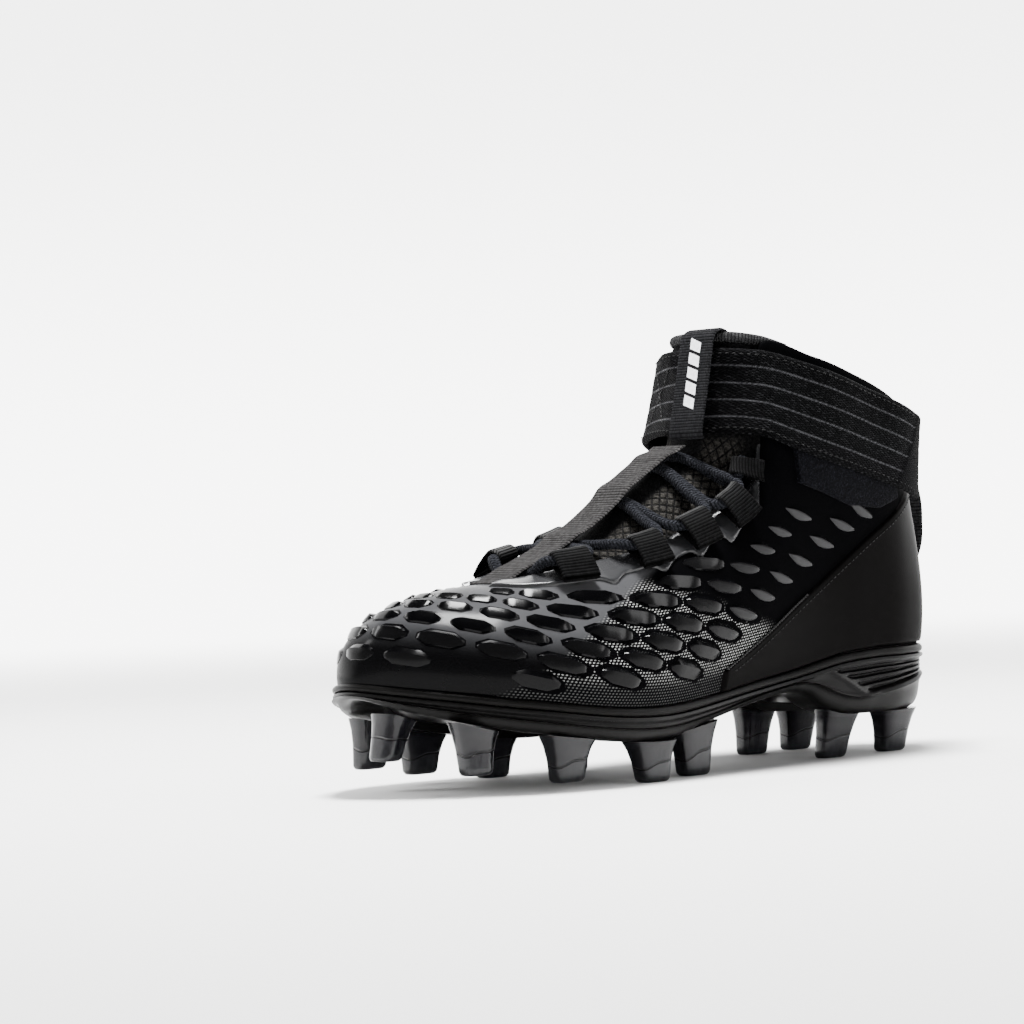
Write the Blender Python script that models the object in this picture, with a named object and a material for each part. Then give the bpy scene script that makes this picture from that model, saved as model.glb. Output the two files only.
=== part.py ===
"""A left-foot american football cleat standing empty on its studs: hollow upper, tongue, lacing,
ankle strap, midsole, outsole plate and thirteen studs.

Work is done in table units, a 300th of LENGTH, as (x, u, z): x to the shoe's outer side, u from the back
of the heel forward, z up from the ground under the studs. The finished part has +Y towards the heel.
"""
import bpy
import numpy as np

LENGTH = 300.0
UNIT = LENGTH / 300.0
MILLIMETRE = 0.001
GAP = 0.35
WALL = 2.0
COLLAR_WALL = 3.0
FEATHER_INSET = 2.2
STUD_GAP = 0.5
OVERLAY = 0.9
LACE_RADIUS = 2.0
WEBBING = 1.2
STRAP_THICK = 2.6

# The footprint: u, then how far it reaches to the outer and to the inner side.
OUTLINE = [
    (4, 17, 17),
    (14, 28.5, 27.5),
    (30, 34.5, 33.5),
    (50, 35.5, 35.5),
    (75, 35.5, 34.5),
    (100, 36, 31),
    (125, 39, 28.5),
    (150, 44, 29),
    (175, 50, 36),
    (200, 54.5, 45),
    (215, 55.5, 49.5),
    (225, 55, 51),
    (240, 52, 52),
    (255, 46, 51),
    (270, 36, 47),
    (285, 21, 38),
    (295, 5, 27),
]
TOE_TIP = (-10.5, 300)

# Heights along the shoe: u, top of the midsole rim, underside of the midsole rim, crest of the wave
# on the plate's side, bottom edge of the plate.
HEIGHTS = [
    (0, 45.7, 42.2, 34.5, 21.0),
    (20, 45.6, 42.1, 30.5, 18.6),
    (34, 45.5, 42.0, 28.2, 18.0),
    (47, 45.3, 41.9, 26.4, 18.0),
    (59, 44.6, 41.3, 25.2, 18.2),
    (71, 43.6, 40.2, 27.2, 19.4),
    (80, 42.1, 38.8, 30.2, 22.8),
    (88, 40.6, 37.4, 32.8, 27.6),
    (98, 38.8, 35.8, 33.2, 29.4),
    (111, 37.1, 34.1, 31.6, 28.2),
    (125, 35.5, 32.4, 29.6, 26.3),
    (139, 33.8, 30.8, 27.4, 24.1),
    (152, 32.3, 29.3, 25.3, 21.9),
    (167, 31.0, 27.8, 23.4, 19.4),
    (181, 30.1, 26.7, 22.0, 16.8),
    (206, 30.2, 26.9, 22.0, 16.9),
    (227, 32.0, 28.8, 24.0, 19.5),
    (245, 34.6, 31.4, 26.6, 21.9),
    (266, 37.7, 34.6, 30.2, 25.4),
    (280, 40.2, 37.2, 33.2, 29.0),
    (293, 42.8, 39.9, 37.0, 33.6),
    (301, 44.8, 42.0, 40.4, 38.4),
]
RIM, BAND, WAVE, EDGE = 0, 1, 2, 3

# The upper's ribs from the feather edge to the topline: the foot's u, then two shaping points and the
# topline point, each as x, u, z. Outer side first, from the heel to the toe.
HEEL_RIB = (0, (0, -3, 80), (0, 13, 106), (0, 9, 148))
OUTER_RIBS = [
    (13, (29, 9, 79), (22, 19, 108), (19, 14, 149)),
    (34, (39, 31, 79), (34, 34, 112), (30, 31, 153)),
    (60, (42, 58, 80), (39, 60, 118), (37, 56, 160)),
    (85, (43, 84, 77), (42, 82, 122), (37, 83, 168.5)),
    (104, (46, 104, 74), (45, 103, 122), (28, 105, 174.5)),
    (121, (49, 121, 70), (43, 119, 110), (30, 108, 147)),
    (138, (51, 138, 66), (41, 134, 99), (29.5, 113, 121)),
    (155, (53, 156, 60), (40, 150, 91), (28, 127, 109)),
    (172, (56, 173, 56), (41, 167, 84), (26, 149, 100)),
    (190, (60, 192, 52), (43, 187, 78), (24, 173, 92)),
    (208, (61, 210, 50), (43, 206, 74), (20.5, 198, 87.5)),
    (226, (61, 229, 49), (39, 226, 74), (15.5, 216, 84.3)),
    (244, (56, 248, 51), (34, 243, 76), (10, 225.5, 82.2)),
    (262, (47, 266, 55), (27, 256, 77.5), (5.5, 229.5, 81.5)),
    (280, (29, 284, 61), (16, 268, 79), (2, 231.5, 81)),
    (293, (9, 296, 66), (7, 276, 80), (-0.3, 232, 80.8)),
]
TOE_RIB = (300, (-9, 299, 67), (-4, 279, 80), (-2, 231.8, 80.8))
INNER_RIBS = [
    (293, (-29, 295, 65), (-15, 275, 79.5), (-4, 231, 80.9)),
    (280, (-44, 281, 60), (-24, 266, 78.5), (-7, 229, 81.3)),
    (262, (-54, 262, 55), (-33, 254, 77), (-11, 224, 82.2)),
    (244, (-57, 245, 51), (-38, 242, 75.5), (-15.5, 215, 84.3)),
    (226, (-56, 227, 51), (-40, 223, 75.5), (-19.5, 199, 87.3)),
    (208, (-53, 209, 53), (-41, 203, 78.5), (-23, 177, 91.3)),
    (190, (-48, 191, 57), (-40, 184, 84), (-25, 156, 97.5)),
    (172, (-44, 172, 62), (-40, 165, 91), (-27, 136, 105)),
    (155, (-42, 155, 66), (-41, 148, 99), (-28.5, 119, 115)),
    (138, (-43, 138, 71), (-42, 132, 108), (-29.5, 109.5, 130)),
    (120, (-44, 119, 74), (-43, 114, 118), (-30, 107, 152)),
    (104, (-44, 103, 76), (-44, 101, 124), (-28, 104.5, 174)),
    (85, (-42, 84, 78), (-42, 82, 122), (-37, 83, 168.5)),
    (60, (-41, 58, 80), (-39, 60, 118), (-37, 56, 160)),
    (34, (-38, 31, 79), (-33, 34, 112), (-30, 31, 153)),
    (13, (-28, 9, 79), (-21, 19, 108), (-19, 14, 149)),
]

# The heel counter's upper edge: u of the foot point below it, then z.
COUNTER_TOP = [(0, 118), (20, 112), (43, 101), (67, 88), (100, 68), (126, 53), (150, 41)]
COUNTER_FRONT = 150

# Studs: name, x, u and z of the flat bottom, its length and width, the root's length and width, and how
# far the root sits to the outside and forward of the bottom.
STUDS = [
    ("stud_heel_outer_rear", 22, 30, 0, 13, 8, 22, 13, 2, -1),
    ("stud_heel_outer_front", 24, 69, 0, 13, 8, 20, 12, 2, -3),
    ("stud_heel_inner_rear", -27, 38, 0, 13, 8, 22, 13, 1, -2),
    ("stud_heel_inner_front", -25, 67, 0, 13, 8, 20, 12, 0, -2),
    ("stud_ball_outer_rear", 37, 162, 0, 13, 8, 23, 13, 0, 0),
    ("stud_ball_outer_middle", 46, 193, 0, 13, 8, 24, 13, 0, 1),
    ("stud_ball_outer_front", 42, 235, 3, 13, 8, 24, 13, 1, 0),
    ("stud_toe_outer", 30, 271, 8, 12, 8, 21, 12, -2, -1),
    ("stud_toe_tip", -2, 290, 14, 9, 12, 12, 19, 0, -5),
    ("stud_toe_inner", -31, 275, 9, 12, 8, 20, 12, 1, -2),
    ("stud_ball_inner_front", -42, 240, 4, 13, 8, 23, 13, 0, -1),
    ("stud_ball_inner_middle", -39, 204, 0, 13, 8, 24, 13, 0, 0),
    ("stud_ball_inner_rear", -28, 170, 0, 13, 8, 22, 12, 0, 0),
]

# Where the webbing loops hold the lace: shares of the throat edge from the vamp to the collar.
LOOP_PLACES = [0.165, 0.345, 0.485, 0.605, 0.715]
LOOP_WIDTHS = [14.5, 14.5, 14.5, 13.0, 10.5]
LOOP_TAIL = 11.0
LOOP_DROP = 3.0
LOOP_OFF = 2.8

# The centre webbing's upper face on the middle line: u, z.
STRIP_LINE = [
    (238, 84.4),
    (229, 85.8),
    (213, 91),
    (200, 96.5),
    (187, 103),
    (175, 110.5),
    (163, 119),
    (150, 127),
    (138, 132.3),
    (133, 134.2),
]
STRIP_WIDTH = 19.0
STRIP_THICK = 1.4

# The tongue's outer face on the middle line: share of the throat edge beside it, u, z.
TONGUE_LINE = [
    (0.06, 228, 78.6),
    (0.165, 212, 84.6),
    (0.26, 196, 91.7),
    (0.345, 180, 99.6),
    (0.42, 167, 108.6),
    (0.485, 155, 116.8),
    (0.55, 144, 122.6),
    (0.61, 135.5, 126.2),
    (0.665, 129, 129),
    (0.705, 125.6, 133),
    (0.76, 123.6, 139.5),
    (0.85, 120.8, 151),
    (0.93, 118.2, 162),
]

# The tongue where it stands at the collar, and its hidden end under the vamp: half of each section, as
# x, u, z from the middle to the edge.
TONGUE_TOP = [
    [(0, 114.5, 179), (14.5, 113, 178.5), (23.5, 103, 176.5), (28.5, 92, 172.5)],
    [(0, 116.8, 171), (14.5, 115.4, 170.5), (23, 104.5, 169), (28, 92, 165)],
]
TONGUE_TOE = [(0, 239, 77.0), (6, 238, 76.4), (11, 234, 75.2), (16, 229, 72.5)]

# The ankle strap's edges: u, bottom z, top z.
STRAP_EDGES = [
    (-5, 101, 137.5),
    (25, 110, 147),
    (65, 120.5, 159.3),
    (89, 127, 166.8),
    (107, 133, 172.4),
    (118, 138, 174.5),
    (130, 138.5, 175),
]
STRAP_CENTRE = 62
STRAP_START = 165
STRAP_END = -54
STRAP_INSIDE = 1.8


def smooth(table, at):
    """Reads a table, whose first column rises, with a smooth curve through its rows."""
    rows = np.array(table, float)
    key = rows[:, 0]
    value = rows[:, 1:]
    slope = np.gradient(value, key, axis=0)
    at = np.clip(np.asarray(at, float), key[0], key[-1])
    i = np.clip(np.searchsorted(key, at, side="right") - 1, 0, len(key) - 2)
    step = (key[i + 1] - key[i])[..., None]
    k = (at - key[i])[..., None] / step
    ends = value[i] * (1 + 2 * k) * (1 - k) ** 2 + value[i + 1] * k * k * (3 - 2 * k)
    return ends + (slope[i] * k * (1 - k) ** 2 - slope[i + 1] * k * k * (1 - k)) * step


def height(u, line):
    """The height of one of the sole's lines at u."""
    return smooth(HEIGHTS, u)[..., line]


def closed_spline(points, per_span=24):
    """A dense closed curve through the points, with the index of each point in it."""
    p = np.array(points, float)
    n = len(p)
    chord = np.linalg.norm(np.roll(p, -1, axis=0) - p, axis=1)
    dense = []
    for i in range(n):
        before, here, after, beyond = p[i - 1], p[i], p[(i + 1) % n], p[(i + 2) % n]
        d0, d1, d2 = chord[i - 1], chord[i], chord[(i + 1) % n]
        start = ((here - before) / d0 * d1 + (after - here) / d1 * d0) / (d0 + d1) * d1
        finish = ((after - here) / d1 * d2 + (beyond - after) / d2 * d1) / (d1 + d2) * d1
        k = np.linspace(0, 1, per_span, endpoint=False)[:, None]
        span = here * (1 + 2 * k) * (1 - k) ** 2 + after * k * k * (3 - 2 * k)
        dense.append(span + start * k * (1 - k) ** 2 - finish * k * k * (1 - k))
    return np.concatenate(dense)


def footprint():
    """The outline as (share, x, u, normal x, normal u), share 0 at the heel, 0.5 at the toe tip."""
    outer = [(row[1], row[0]) for row in OUTLINE]
    inner = [(-row[2], row[0]) for row in reversed(OUTLINE)]
    loop = closed_spline([(0, 0)] + outer + [TOE_TIP] + inner)
    half = 24 * (len(OUTLINE) + 1)
    ring = np.concatenate([loop, loop[:1]])
    run = np.concatenate([[0], np.cumsum(np.linalg.norm(np.diff(ring, axis=0), axis=1))])
    share = np.where(run <= run[half], 0.5 * run / run[half], 0.5 + 0.5 * (run - run[half]) / (run[-1] - run[half]))
    along = np.roll(loop, -1, axis=0) - np.roll(loop, 1, axis=0)
    along = np.concatenate([along, along[:1]])
    along = along / np.linalg.norm(along, axis=1)[:, None]
    return np.column_stack([share, ring, along[:, 1], -along[:, 0]])


FOOTPRINT = footprint()


def outline(share, inset=0.0):
    """Points (x, u) on the footprint, moved in by inset."""
    share = np.mod(share, 1.0)
    columns = [np.interp(share, FOOTPRINT[:, 0], FOOTPRINT[:, i]) for i in range(1, 5)]
    scale = np.hypot(columns[2], columns[3])
    x = columns[0] - inset * columns[2] / scale
    u = columns[1] - inset * columns[3] / scale
    return np.stack([x, u], axis=-1)


def share_at(u, outer_side):
    """The share of the perimeter where the outline has this u, on one side."""
    half = FOOTPRINT[:, 0] <= 0.5
    rows = FOOTPRINT[half] if outer_side else FOOTPRINT[~half]
    order = np.argsort(rows[:, 2])
    return np.interp(u, rows[order, 2], rows[order, 0])


def rib_table():
    """All ribs as rows of share, then the nine numbers of the shaping and topline points."""
    rows = [(0.0, *HEEL_RIB[1:])]
    rows += [(float(share_at(rib[0], True)), *rib[1:]) for rib in OUTER_RIBS]
    rows += [(0.5, *TOE_RIB[1:])]
    rows += [(float(share_at(rib[0], False)), *rib[1:]) for rib in INNER_RIBS]
    flat = np.array([[row[0], *row[1], *row[2], *row[3]] for row in rows])
    before = flat[-3:].copy()
    before[:, 0] -= 1.0
    after = flat[:3].copy()
    after[:, 0] += 1.0
    return np.concatenate([before, flat, after])


RIBS = rib_table()


def upper_point(share, v):
    """The upper's outer face: v runs from 0 at the feather edge to 1 at the topline."""
    share = np.mod(np.asarray(share, float), 1.0)
    v = np.asarray(v, float)
    share, v = np.broadcast_arrays(share, v)
    ribs = smooth(RIBS, share)
    foot = outline(share, FEATHER_INSET)
    foot_z = height(foot[..., 1], RIM) + GAP
    p0 = np.concatenate([foot, foot_z[..., None]], axis=-1)
    p1 = ribs[..., 0:3]
    p2 = ribs[..., 3:6]
    p3 = ribs[..., 6:9]
    k = v[..., None]
    return p0 * (1 - k) ** 3 + 3 * p1 * k * (1 - k) ** 2 + 3 * p2 * k * k * (1 - k) + p3 * k ** 3


def upper_normal(share, v):
    """The outward direction of the upper's face."""
    share, v = np.broadcast_arrays(np.asarray(share, float), np.asarray(v, float))
    across = upper_point(share + 0.002, v) - upper_point(share - 0.002, v)
    low = np.clip(v - 0.01, 0, 1)
    high = np.clip(v + 0.01, 0, 1)
    rising = upper_point(share, high) - upper_point(share, low)
    normal = np.cross(across, rising)
    return normal / np.linalg.norm(normal, axis=-1)[..., None]


def upper_offset(share, v, out):
    """A point out from the upper's face."""
    out = np.asarray(out, float)
    return upper_point(share, v) + upper_normal(share, v) * out[..., None]


def wall_at(share, v):
    """The wall's thickness, which grows towards the padded collar."""
    share, v = np.broadcast_arrays(np.mod(np.asarray(share, float), 1.0), np.asarray(v, float))
    collar = np.clip((smooth(RIBS, share)[..., 8] - 130) / 20, 0, 1)
    return WALL + (COLLAR_WALL - WALL) * collar * np.clip((v - 0.7) / 0.25, 0, 1)


def v_at_height(share, z):
    """The v at which the upper's face reaches height z, for each share."""
    share, z = np.broadcast_arrays(np.asarray(share, float), np.asarray(z, float))
    grid = np.linspace(0, 1, 201)
    found = np.empty(share.shape)
    for i in np.ndindex(share.shape):
        rise = np.maximum.accumulate(upper_point(share[i], grid)[:, 2])
        found[i] = np.interp(z[i], rise, grid)
    return found


def solid(points, faces):
    """A mesh as (points, faces), with faces turned outwards."""
    points = np.array(points, float).reshape(-1, 3)
    volume = 0.0
    for face in faces:
        for i in range(1, len(face) - 1):
            a, b, c = points[face[0]], points[face[i]], points[face[i + 1]]
            volume += np.dot(a, np.cross(b, c))
    # Table units have u where the part has -y, so a positive volume here is inside out there.
    if volume > 0:
        faces = [tuple(reversed(face)) for face in faces]
    return points, faces


def sheet_solid(front, back, closed=False):
    """A solid between two grids of points. Where closed, the first index runs round."""
    n, m = front.shape[:2]
    points = np.concatenate([front.reshape(-1, 3), back.reshape(-1, 3)])
    spans = n if closed else n - 1
    faces = []
    for i in range(spans):
        j = (i + 1) % n
        for k in range(m - 1):
            a, b, c, d = i * m + k, j * m + k, j * m + k + 1, i * m + k + 1
            faces.append((a, b, c, d))
            faces.append(tuple(n * m + q for q in (d, c, b, a)))
        for k in (0, m - 1):
            a, b = i * m + k, j * m + k
            face = (a, n * m + a, n * m + b, b)
            faces.append(face if k == 0 else tuple(reversed(face)))
    if not closed:
        for i in (0, n - 1):
            for k in range(m - 1):
                a, b = i * m + k, i * m + k + 1
                face = (b, n * m + b, n * m + a, a)
                faces.append(face if i == 0 else tuple(reversed(face)))
    return solid(points, faces)


def ring_solid(rings, ladder=True):
    """A solid from rings of points, closed top and bottom by rungs from side to side, or by a fan."""
    rings = np.array(rings, float)
    n = rings.shape[1]
    faces = []
    for r in range(len(rings) - 1):
        for i in range(n):
            j = (i + 1) % n
            faces.append((r * n + i, r * n + j, (r + 1) * n + j, (r + 1) * n + i))
    last = (len(rings) - 1) * n
    half = n // 2
    if ladder:
        rungs = [(0, 1, n - 1)]
        rungs += [(i, i + 1, n - i - 1, n - i) for i in range(1, half - 1)]
        rungs += [(half - 1, half, half + 1)]
    else:
        rungs = [tuple(range(n))]
    for rung in rungs:
        faces.append(tuple(reversed(rung)))
        faces.append(tuple(last + i for i in rung))
    return solid(rings, faces)


def stations(count):
    """Shares round the footprint, paired at equal u across the shoe, closer together at the heel and toe."""
    k = np.linspace(0, 1, count + 1)
    outer = 0.5 * (k - 0.055 * np.sin(2 * np.pi * k))
    inner = share_at(outline(outer[1:-1])[:, 1], False)[::-1]
    return np.concatenate([outer, inner])


def level_ring(shares, inset, line_height):
    """A ring of the footprint moved in by inset, at a height given as a function of u."""
    inset = np.broadcast_to(inset, shares.shape)
    ring = np.stack([outline(s, i) for s, i in zip(shares, inset)])
    return np.column_stack([ring, line_height(ring[:, 1])])


def make_plate():
    """The outsole plate: rim, louvred heel sides, wave ridge, lower body and a recessed underside."""
    shares = stations(28)
    along = outline(shares)[:, 1]
    heel = np.clip((84 - along) / 12, 0, 1) * np.clip((along - 2) / 10, 0, 1)

    def between(top, bottom, share, drop=0.0):
        def line(u):
            high = height(u, top) if top != BAND else height(u, BAND) - GAP
            return high + (height(u, bottom) - high) * share - drop
        return line

    rings = [
        level_ring(shares, 1.2, between(BAND, WAVE, 0.0)),
        level_ring(shares, 0.3, between(BAND, WAVE, 0.0, 0.5)),
        level_ring(shares, 0.2, between(BAND, WAVE, 0.13, 0.5)),
        level_ring(shares, 1.4 + 0.8 * heel, between(BAND, WAVE, 0.2, 0.6)),
    ]
    for k in range(3):
        rings.append(level_ring(shares, 1.3 + 0.1 * k + 0.0 * heel, between(BAND, WAVE, 0.32 + 0.2 * k)))
        rings.append(level_ring(shares, 1.5 + 0.1 * k + 1.5 * heel, between(BAND, WAVE, 0.42 + 0.2 * k)))
    rings += [
        level_ring(shares, 1.0, between(BAND, WAVE, 1.0)),
        level_ring(shares, 1.3, between(WAVE, EDGE, 0.14)),
        level_ring(shares, 2.2, between(WAVE, EDGE, 0.5)),
        level_ring(shares, 3.4, between(WAVE, EDGE, 0.86)),
        level_ring(shares, 5.0, between(WAVE, EDGE, 1.0)),
        level_ring(shares, 20.0, between(WAVE, EDGE, 1.0)),
    ]

    def recess(u):
        return height(u, EDGE) + np.minimum(4.0, 0.4 * (height(u, BAND) - height(u, EDGE)))

    rings.append(level_ring(shares, 21.5, recess))
    return ring_solid(rings)


def make_slab(count, inset, top, bottom, bulge=0.0):
    """A slab over the footprint between two heights given as functions of u."""
    shares = stations(count)

    def middle(u):
        return 0.5 * (top(u) + bottom(u))

    rings = [level_ring(shares, inset, top)]
    if bulge:
        rings.append(level_ring(shares, inset - bulge, middle))
    rings.append(level_ring(shares, inset, bottom))
    return ring_solid(rings)


def make_midsole():
    """The midsole: it shows as a thin band between plate and upper, and closes the upper below."""
    return make_slab(28, 0.5, lambda u: height(u, RIM), lambda u: height(u, BAND), bulge=0.5)


def make_insole():
    """The removable insole, lying in the upper on the midsole."""
    low = GAP + 0.2
    return make_slab(24, 5.4, lambda u: height(u, RIM) + low + 3.2, lambda u: height(u, RIM) + low)


UPPER_COLUMNS = stations(30)
UPPER_LEVELS = np.array([0, 0.11, 0.22, 0.33, 0.44, 0.55, 0.66, 0.765, 0.86, 0.935, 1.0])


def make_upper():
    """The upper: one thin wall, open at the collar and throat and underneath."""
    s, k = np.meshgrid(UPPER_COLUMNS, UPPER_LEVELS, indexing="ij")
    front = upper_point(s, k)
    back = upper_offset(s, k, -wall_at(s, k))
    return sheet_solid(front, back, closed=True)


def columns_between(start, finish):
    """The upper's own columns from one share to another, so that what lies on it follows its facets."""
    ring = np.sort(np.mod(UPPER_COLUMNS, 1.0))
    ring = np.concatenate([ring - 1.0, ring])
    return ring[(ring >= start) & (ring <= finish)]


def on_upper(shares, v, out):
    """Points out from the upper's faceted face, for columns of the upper."""
    rows = upper_point(shares[:, None], UPPER_LEVELS)
    flat = np.empty(v.shape + (3,))
    for i in range(len(shares)):
        for axis in range(3):
            flat[i, :, axis] = np.interp(v[i], UPPER_LEVELS, rows[i, :, axis])
    return flat + upper_normal(shares[:, None], v) * out


def overlay(shares, low, high, rows, out=GAP, thick=OVERLAY):
    """A thin solid lying on the upper between two v lines, over columns of the upper."""
    if np.isscalar(rows):
        rows = np.linspace(0, 1, rows)
    v = low[:, None] + (high - low)[:, None] * np.asarray(rows)
    return sheet_solid(on_upper(shares, v, out + thick), on_upper(shares, v, out))


def make_counter():
    """The heel counter, wrapped round the heel, its upper edge falling straight to the sole."""
    front_outer = float(share_at(COUNTER_FRONT, True))
    front_inner = float(share_at(COUNTER_FRONT, False)) - 1.0
    shares = columns_between(front_inner, front_outer)
    u = outline(shares)[:, 1]
    top = smooth(COUNTER_TOP, u)[:, 0]
    high = v_at_height(shares, top)
    low = np.full(len(shares), 0.015)
    return overlay(shares, low, high, 5, out=0.7)


def throat_table(outer_side):
    """The throat edge on one side: share of its length from the vamp to the collar, then share of the foot."""
    start = 0.5 + (-0.006 if outer_side else 0.006)
    grid = np.linspace(start, float(share_at(104, outer_side)), 300)
    line = upper_point(grid, 1.0)
    run = np.concatenate([[0], np.cumsum(np.linalg.norm(np.diff(line, axis=0), axis=1))])
    return run / run[-1], grid, run[-1]


THROAT = {side: throat_table(side) for side in (True, False)}


def throat_share(place, outer_side):
    """The foot's share at a place along one edge of the throat."""
    along, grid, _ = THROAT[outer_side]
    return np.interp(place, along, grid)


def surface_net():
    """Closely spaced points and normals of the upper's face above its lower third."""
    share, v = np.meshgrid(np.linspace(0, 1, 480, endpoint=False), np.linspace(0.35, 1, 90), indexing="ij")
    return upper_point(share, v).reshape(-1, 3), upper_normal(share, v).reshape(-1, 3)


NET, NET_NORMALS = surface_net()


def snapped(point, out):
    """The point moved onto the upper's face, then out from it, and the face's normal there."""
    near = np.argmin(((NET - point) ** 2).sum(axis=1))
    normal = NET_NORMALS[near]
    return point - normal * np.dot(point - NET[near], normal) + normal * out, normal


def throat_point(place, outer_side):
    """A point of the throat's edge."""
    return upper_point(throat_share(place, outer_side), 1.0)


def throat_frame(place, outer_side):
    """A point of the throat's edge, the direction along it, down the shoe's side, and out."""
    edge = throat_point(place, outer_side)
    along = throat_point(place + 0.02, outer_side) - throat_point(place - 0.02, outer_side)
    along = along / np.linalg.norm(along)
    _, out = snapped(edge, 0.0)
    down = np.cross(out, along)
    if down[0] * edge[0] < 0:
        down = -down
    return edge, along, down / np.linalg.norm(down), out


def edge_distance_v(share, distance, outer_side):
    """The v at which the face lies this far from the throat's edge, for one share."""
    line = throat_point(np.linspace(0, 1, 200), outer_side)
    v = np.linspace(0.3, 1.0, 90)
    face = upper_point(share, v)
    gap = np.sqrt(((face[:, None] - line[None]) ** 2).sum(axis=2)).min(axis=1)
    return float(np.interp(-distance, -gap, v))


def make_eyestay(outer_side):
    """The band along one edge of the throat that the webbing loops are sewn to."""
    ends = sorted([float(throat_share(0.05, outer_side)), float(throat_share(0.76, outer_side))])
    shares = columns_between(*ends)
    low = np.array([edge_distance_v(share, 13.0, outer_side) for share in shares])
    high = np.array([edge_distance_v(share, 1.5, outer_side) for share in shares])
    return overlay(shares, low, high, 5, out=GAP + 0.35)


def make_patch():
    """The fuzzy half of the strap's fastening, on the outer ankle below the strap."""
    shares = columns_between(float(share_at(38, True)), float(share_at(92, True)))
    u = outline(shares)[:, 1]
    low = v_at_height(shares, np.interp(u, [42, 88], [106.5, 112]))
    high = v_at_height(shares, smooth(STRAP_EDGES, u)[:, 0] - 1.2)
    return overlay(shares, low, high, 3)


def tongue_section(place, u, z):
    """Nine points of the tongue's outer face from the outer to the inner side, at one place of the throat."""
    centre = np.array([0.0, u, z])
    halves = []
    for side in (True, False):
        bend = float(np.clip((place - 0.5) / 0.1, 0, 1))
        wall = WALL + (COLLAR_WALL - WALL) * bend
        lip, _, down, out = throat_frame(place, side)
        stand = float(np.clip((place - 0.7) / 0.08, 0, 1))
        edge = snapped(lip + down * 1.5, -(wall + 1.2 + 0.7 * bend))[0]
        hidden = snapped(lip + down * (8.0 - 3.5 * stand), -(wall + 1.8 + 1.2 * bend))[0]
        inwards = np.array([1.5 if side else -1.5, 1.5, 0.0]) * stand
        edge = edge - inwards
        hidden = hidden - inwards
        under_lip = lip - down * 2.5 - out * (wall + 1.3)
        reach = edge - centre
        level = np.array([reach[0], 0.0, 0.0])
        lift = level - reach
        quarter = centre + 0.5 * reach + 0.22 * lift
        far = (centre + 0.8 * reach + 0.1 * lift) * (1 - bend) + under_lip * bend
        halves.append([quarter, far, edge, hidden])
    return np.array(halves[0][::-1] + [centre] + halves[1])


def mirrored(half):
    """A whole section from its half, the outer side first, given from the middle outwards."""
    half = np.array(half, float)
    fine = smooth(np.column_stack([[0, 1, 2.4, 4], half]), [4, 3.2, 2.4, 1.2, 0])
    other = fine[:-1][::-1] * [-1, 1, 1]
    return np.concatenate([fine, other])


def tongue_sections():
    """All sections of the tongue's outer face, from its top down to its hidden end under the vamp."""
    rows = [mirrored(half) for half in TONGUE_TOP]
    rows += [tongue_section(*row) for row in reversed(TONGUE_LINE)]
    rows.append(mirrored(TONGUE_TOE))
    return np.array(rows)


def along_sections(rows, per_span, columns):
    """A finer grid through sections, smooth both along and across."""
    key = np.arange(len(rows), dtype=float)
    fine = np.linspace(0, len(rows) - 1, (len(rows) - 1) * per_span + 1)
    flat = smooth(np.column_stack([key, rows.reshape(len(rows), -1)]), fine).reshape(len(fine), -1, 3)
    across = np.arange(flat.shape[1], dtype=float)
    at = np.linspace(0, flat.shape[1] - 1, columns)
    return np.array([smooth(np.column_stack([across, row]), at) for row in flat])


def grid_normals(grid):
    """Unit normals of a grid of points."""
    one = np.gradient(grid, axis=0)
    two = np.gradient(grid, axis=1)
    normal = np.cross(one, two)
    return normal / np.linalg.norm(normal, axis=-1)[..., None]


def tongue_face(per_span=1, columns=9):
    """The tongue's outer face and its outward normals."""
    face = along_sections(tongue_sections(), per_span, columns)
    normal = grid_normals(face)
    middle = normal[len(normal) // 2, columns // 2]
    if middle[2] < 0:
        normal = -normal
    return face, normal


def make_tongue():
    """The padded knit tongue, which also closes the ankle in front."""
    face, normal = tongue_face()
    return sheet_solid(face, face - normal * 2.4)


def ribbon(path, side, width, thick):
    """A flat band along a path: side is its direction across, and it is thick to one side of the path."""
    path = np.array(path, float)
    side = np.broadcast_to(np.array(side, float), path.shape)
    along = np.gradient(path, axis=0)
    out = np.cross(side, along)
    out = out / np.linalg.norm(out, axis=1)[:, None]
    front = np.stack([path + out * thick - side * width / 2, path + out * thick + side * width / 2], axis=1)
    back = np.stack([path - side * width / 2, path + side * width / 2], axis=1)
    return sheet_solid(front, back)


def resample(path, count):
    """A smooth path through points, at even steps."""
    path = np.array(path, float)
    run = np.concatenate([[0], np.cumsum(np.linalg.norm(np.diff(path, axis=0), axis=1))])
    return smooth(np.column_stack([run, path]), np.linspace(0, run[-1], count))


def make_strip():
    """The webbing down the middle of the lacing."""
    line = [(0, u, z) for u, z in STRIP_LINE]
    path = resample(line, 15)
    return ribbon(path, (1, 0, 0), STRIP_WIDTH, STRIP_THICK)


def fold_room(place):
    """How much wider than the lace a loop's fold is, more where the throat's edge bends at the ankle."""
    return 0.6 + 0.5 * float(np.clip((place - 0.6) / 0.06, 0, 1))


def loop_frame(place, outer_side):
    """Where a webbing loop holds the lace: hole centre, direction along the edge, down the side, and out."""
    edge, along, down, _ = throat_frame(place, outer_side)
    seat, out = snapped(edge + down * LOOP_DROP, 0.0)
    centre = seat + out * (LOOP_OFF + WEBBING + LACE_RADIUS + fold_room(place))
    down = down - out * np.dot(down, out)
    down = down / np.linalg.norm(down)
    return centre, along, down, out


def half_share(level, outer_side):
    """Half a loop's width as a share of the throat's edge."""
    return 0.5 * LOOP_WIDTHS[level] / THROAT[outer_side][2]


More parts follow.
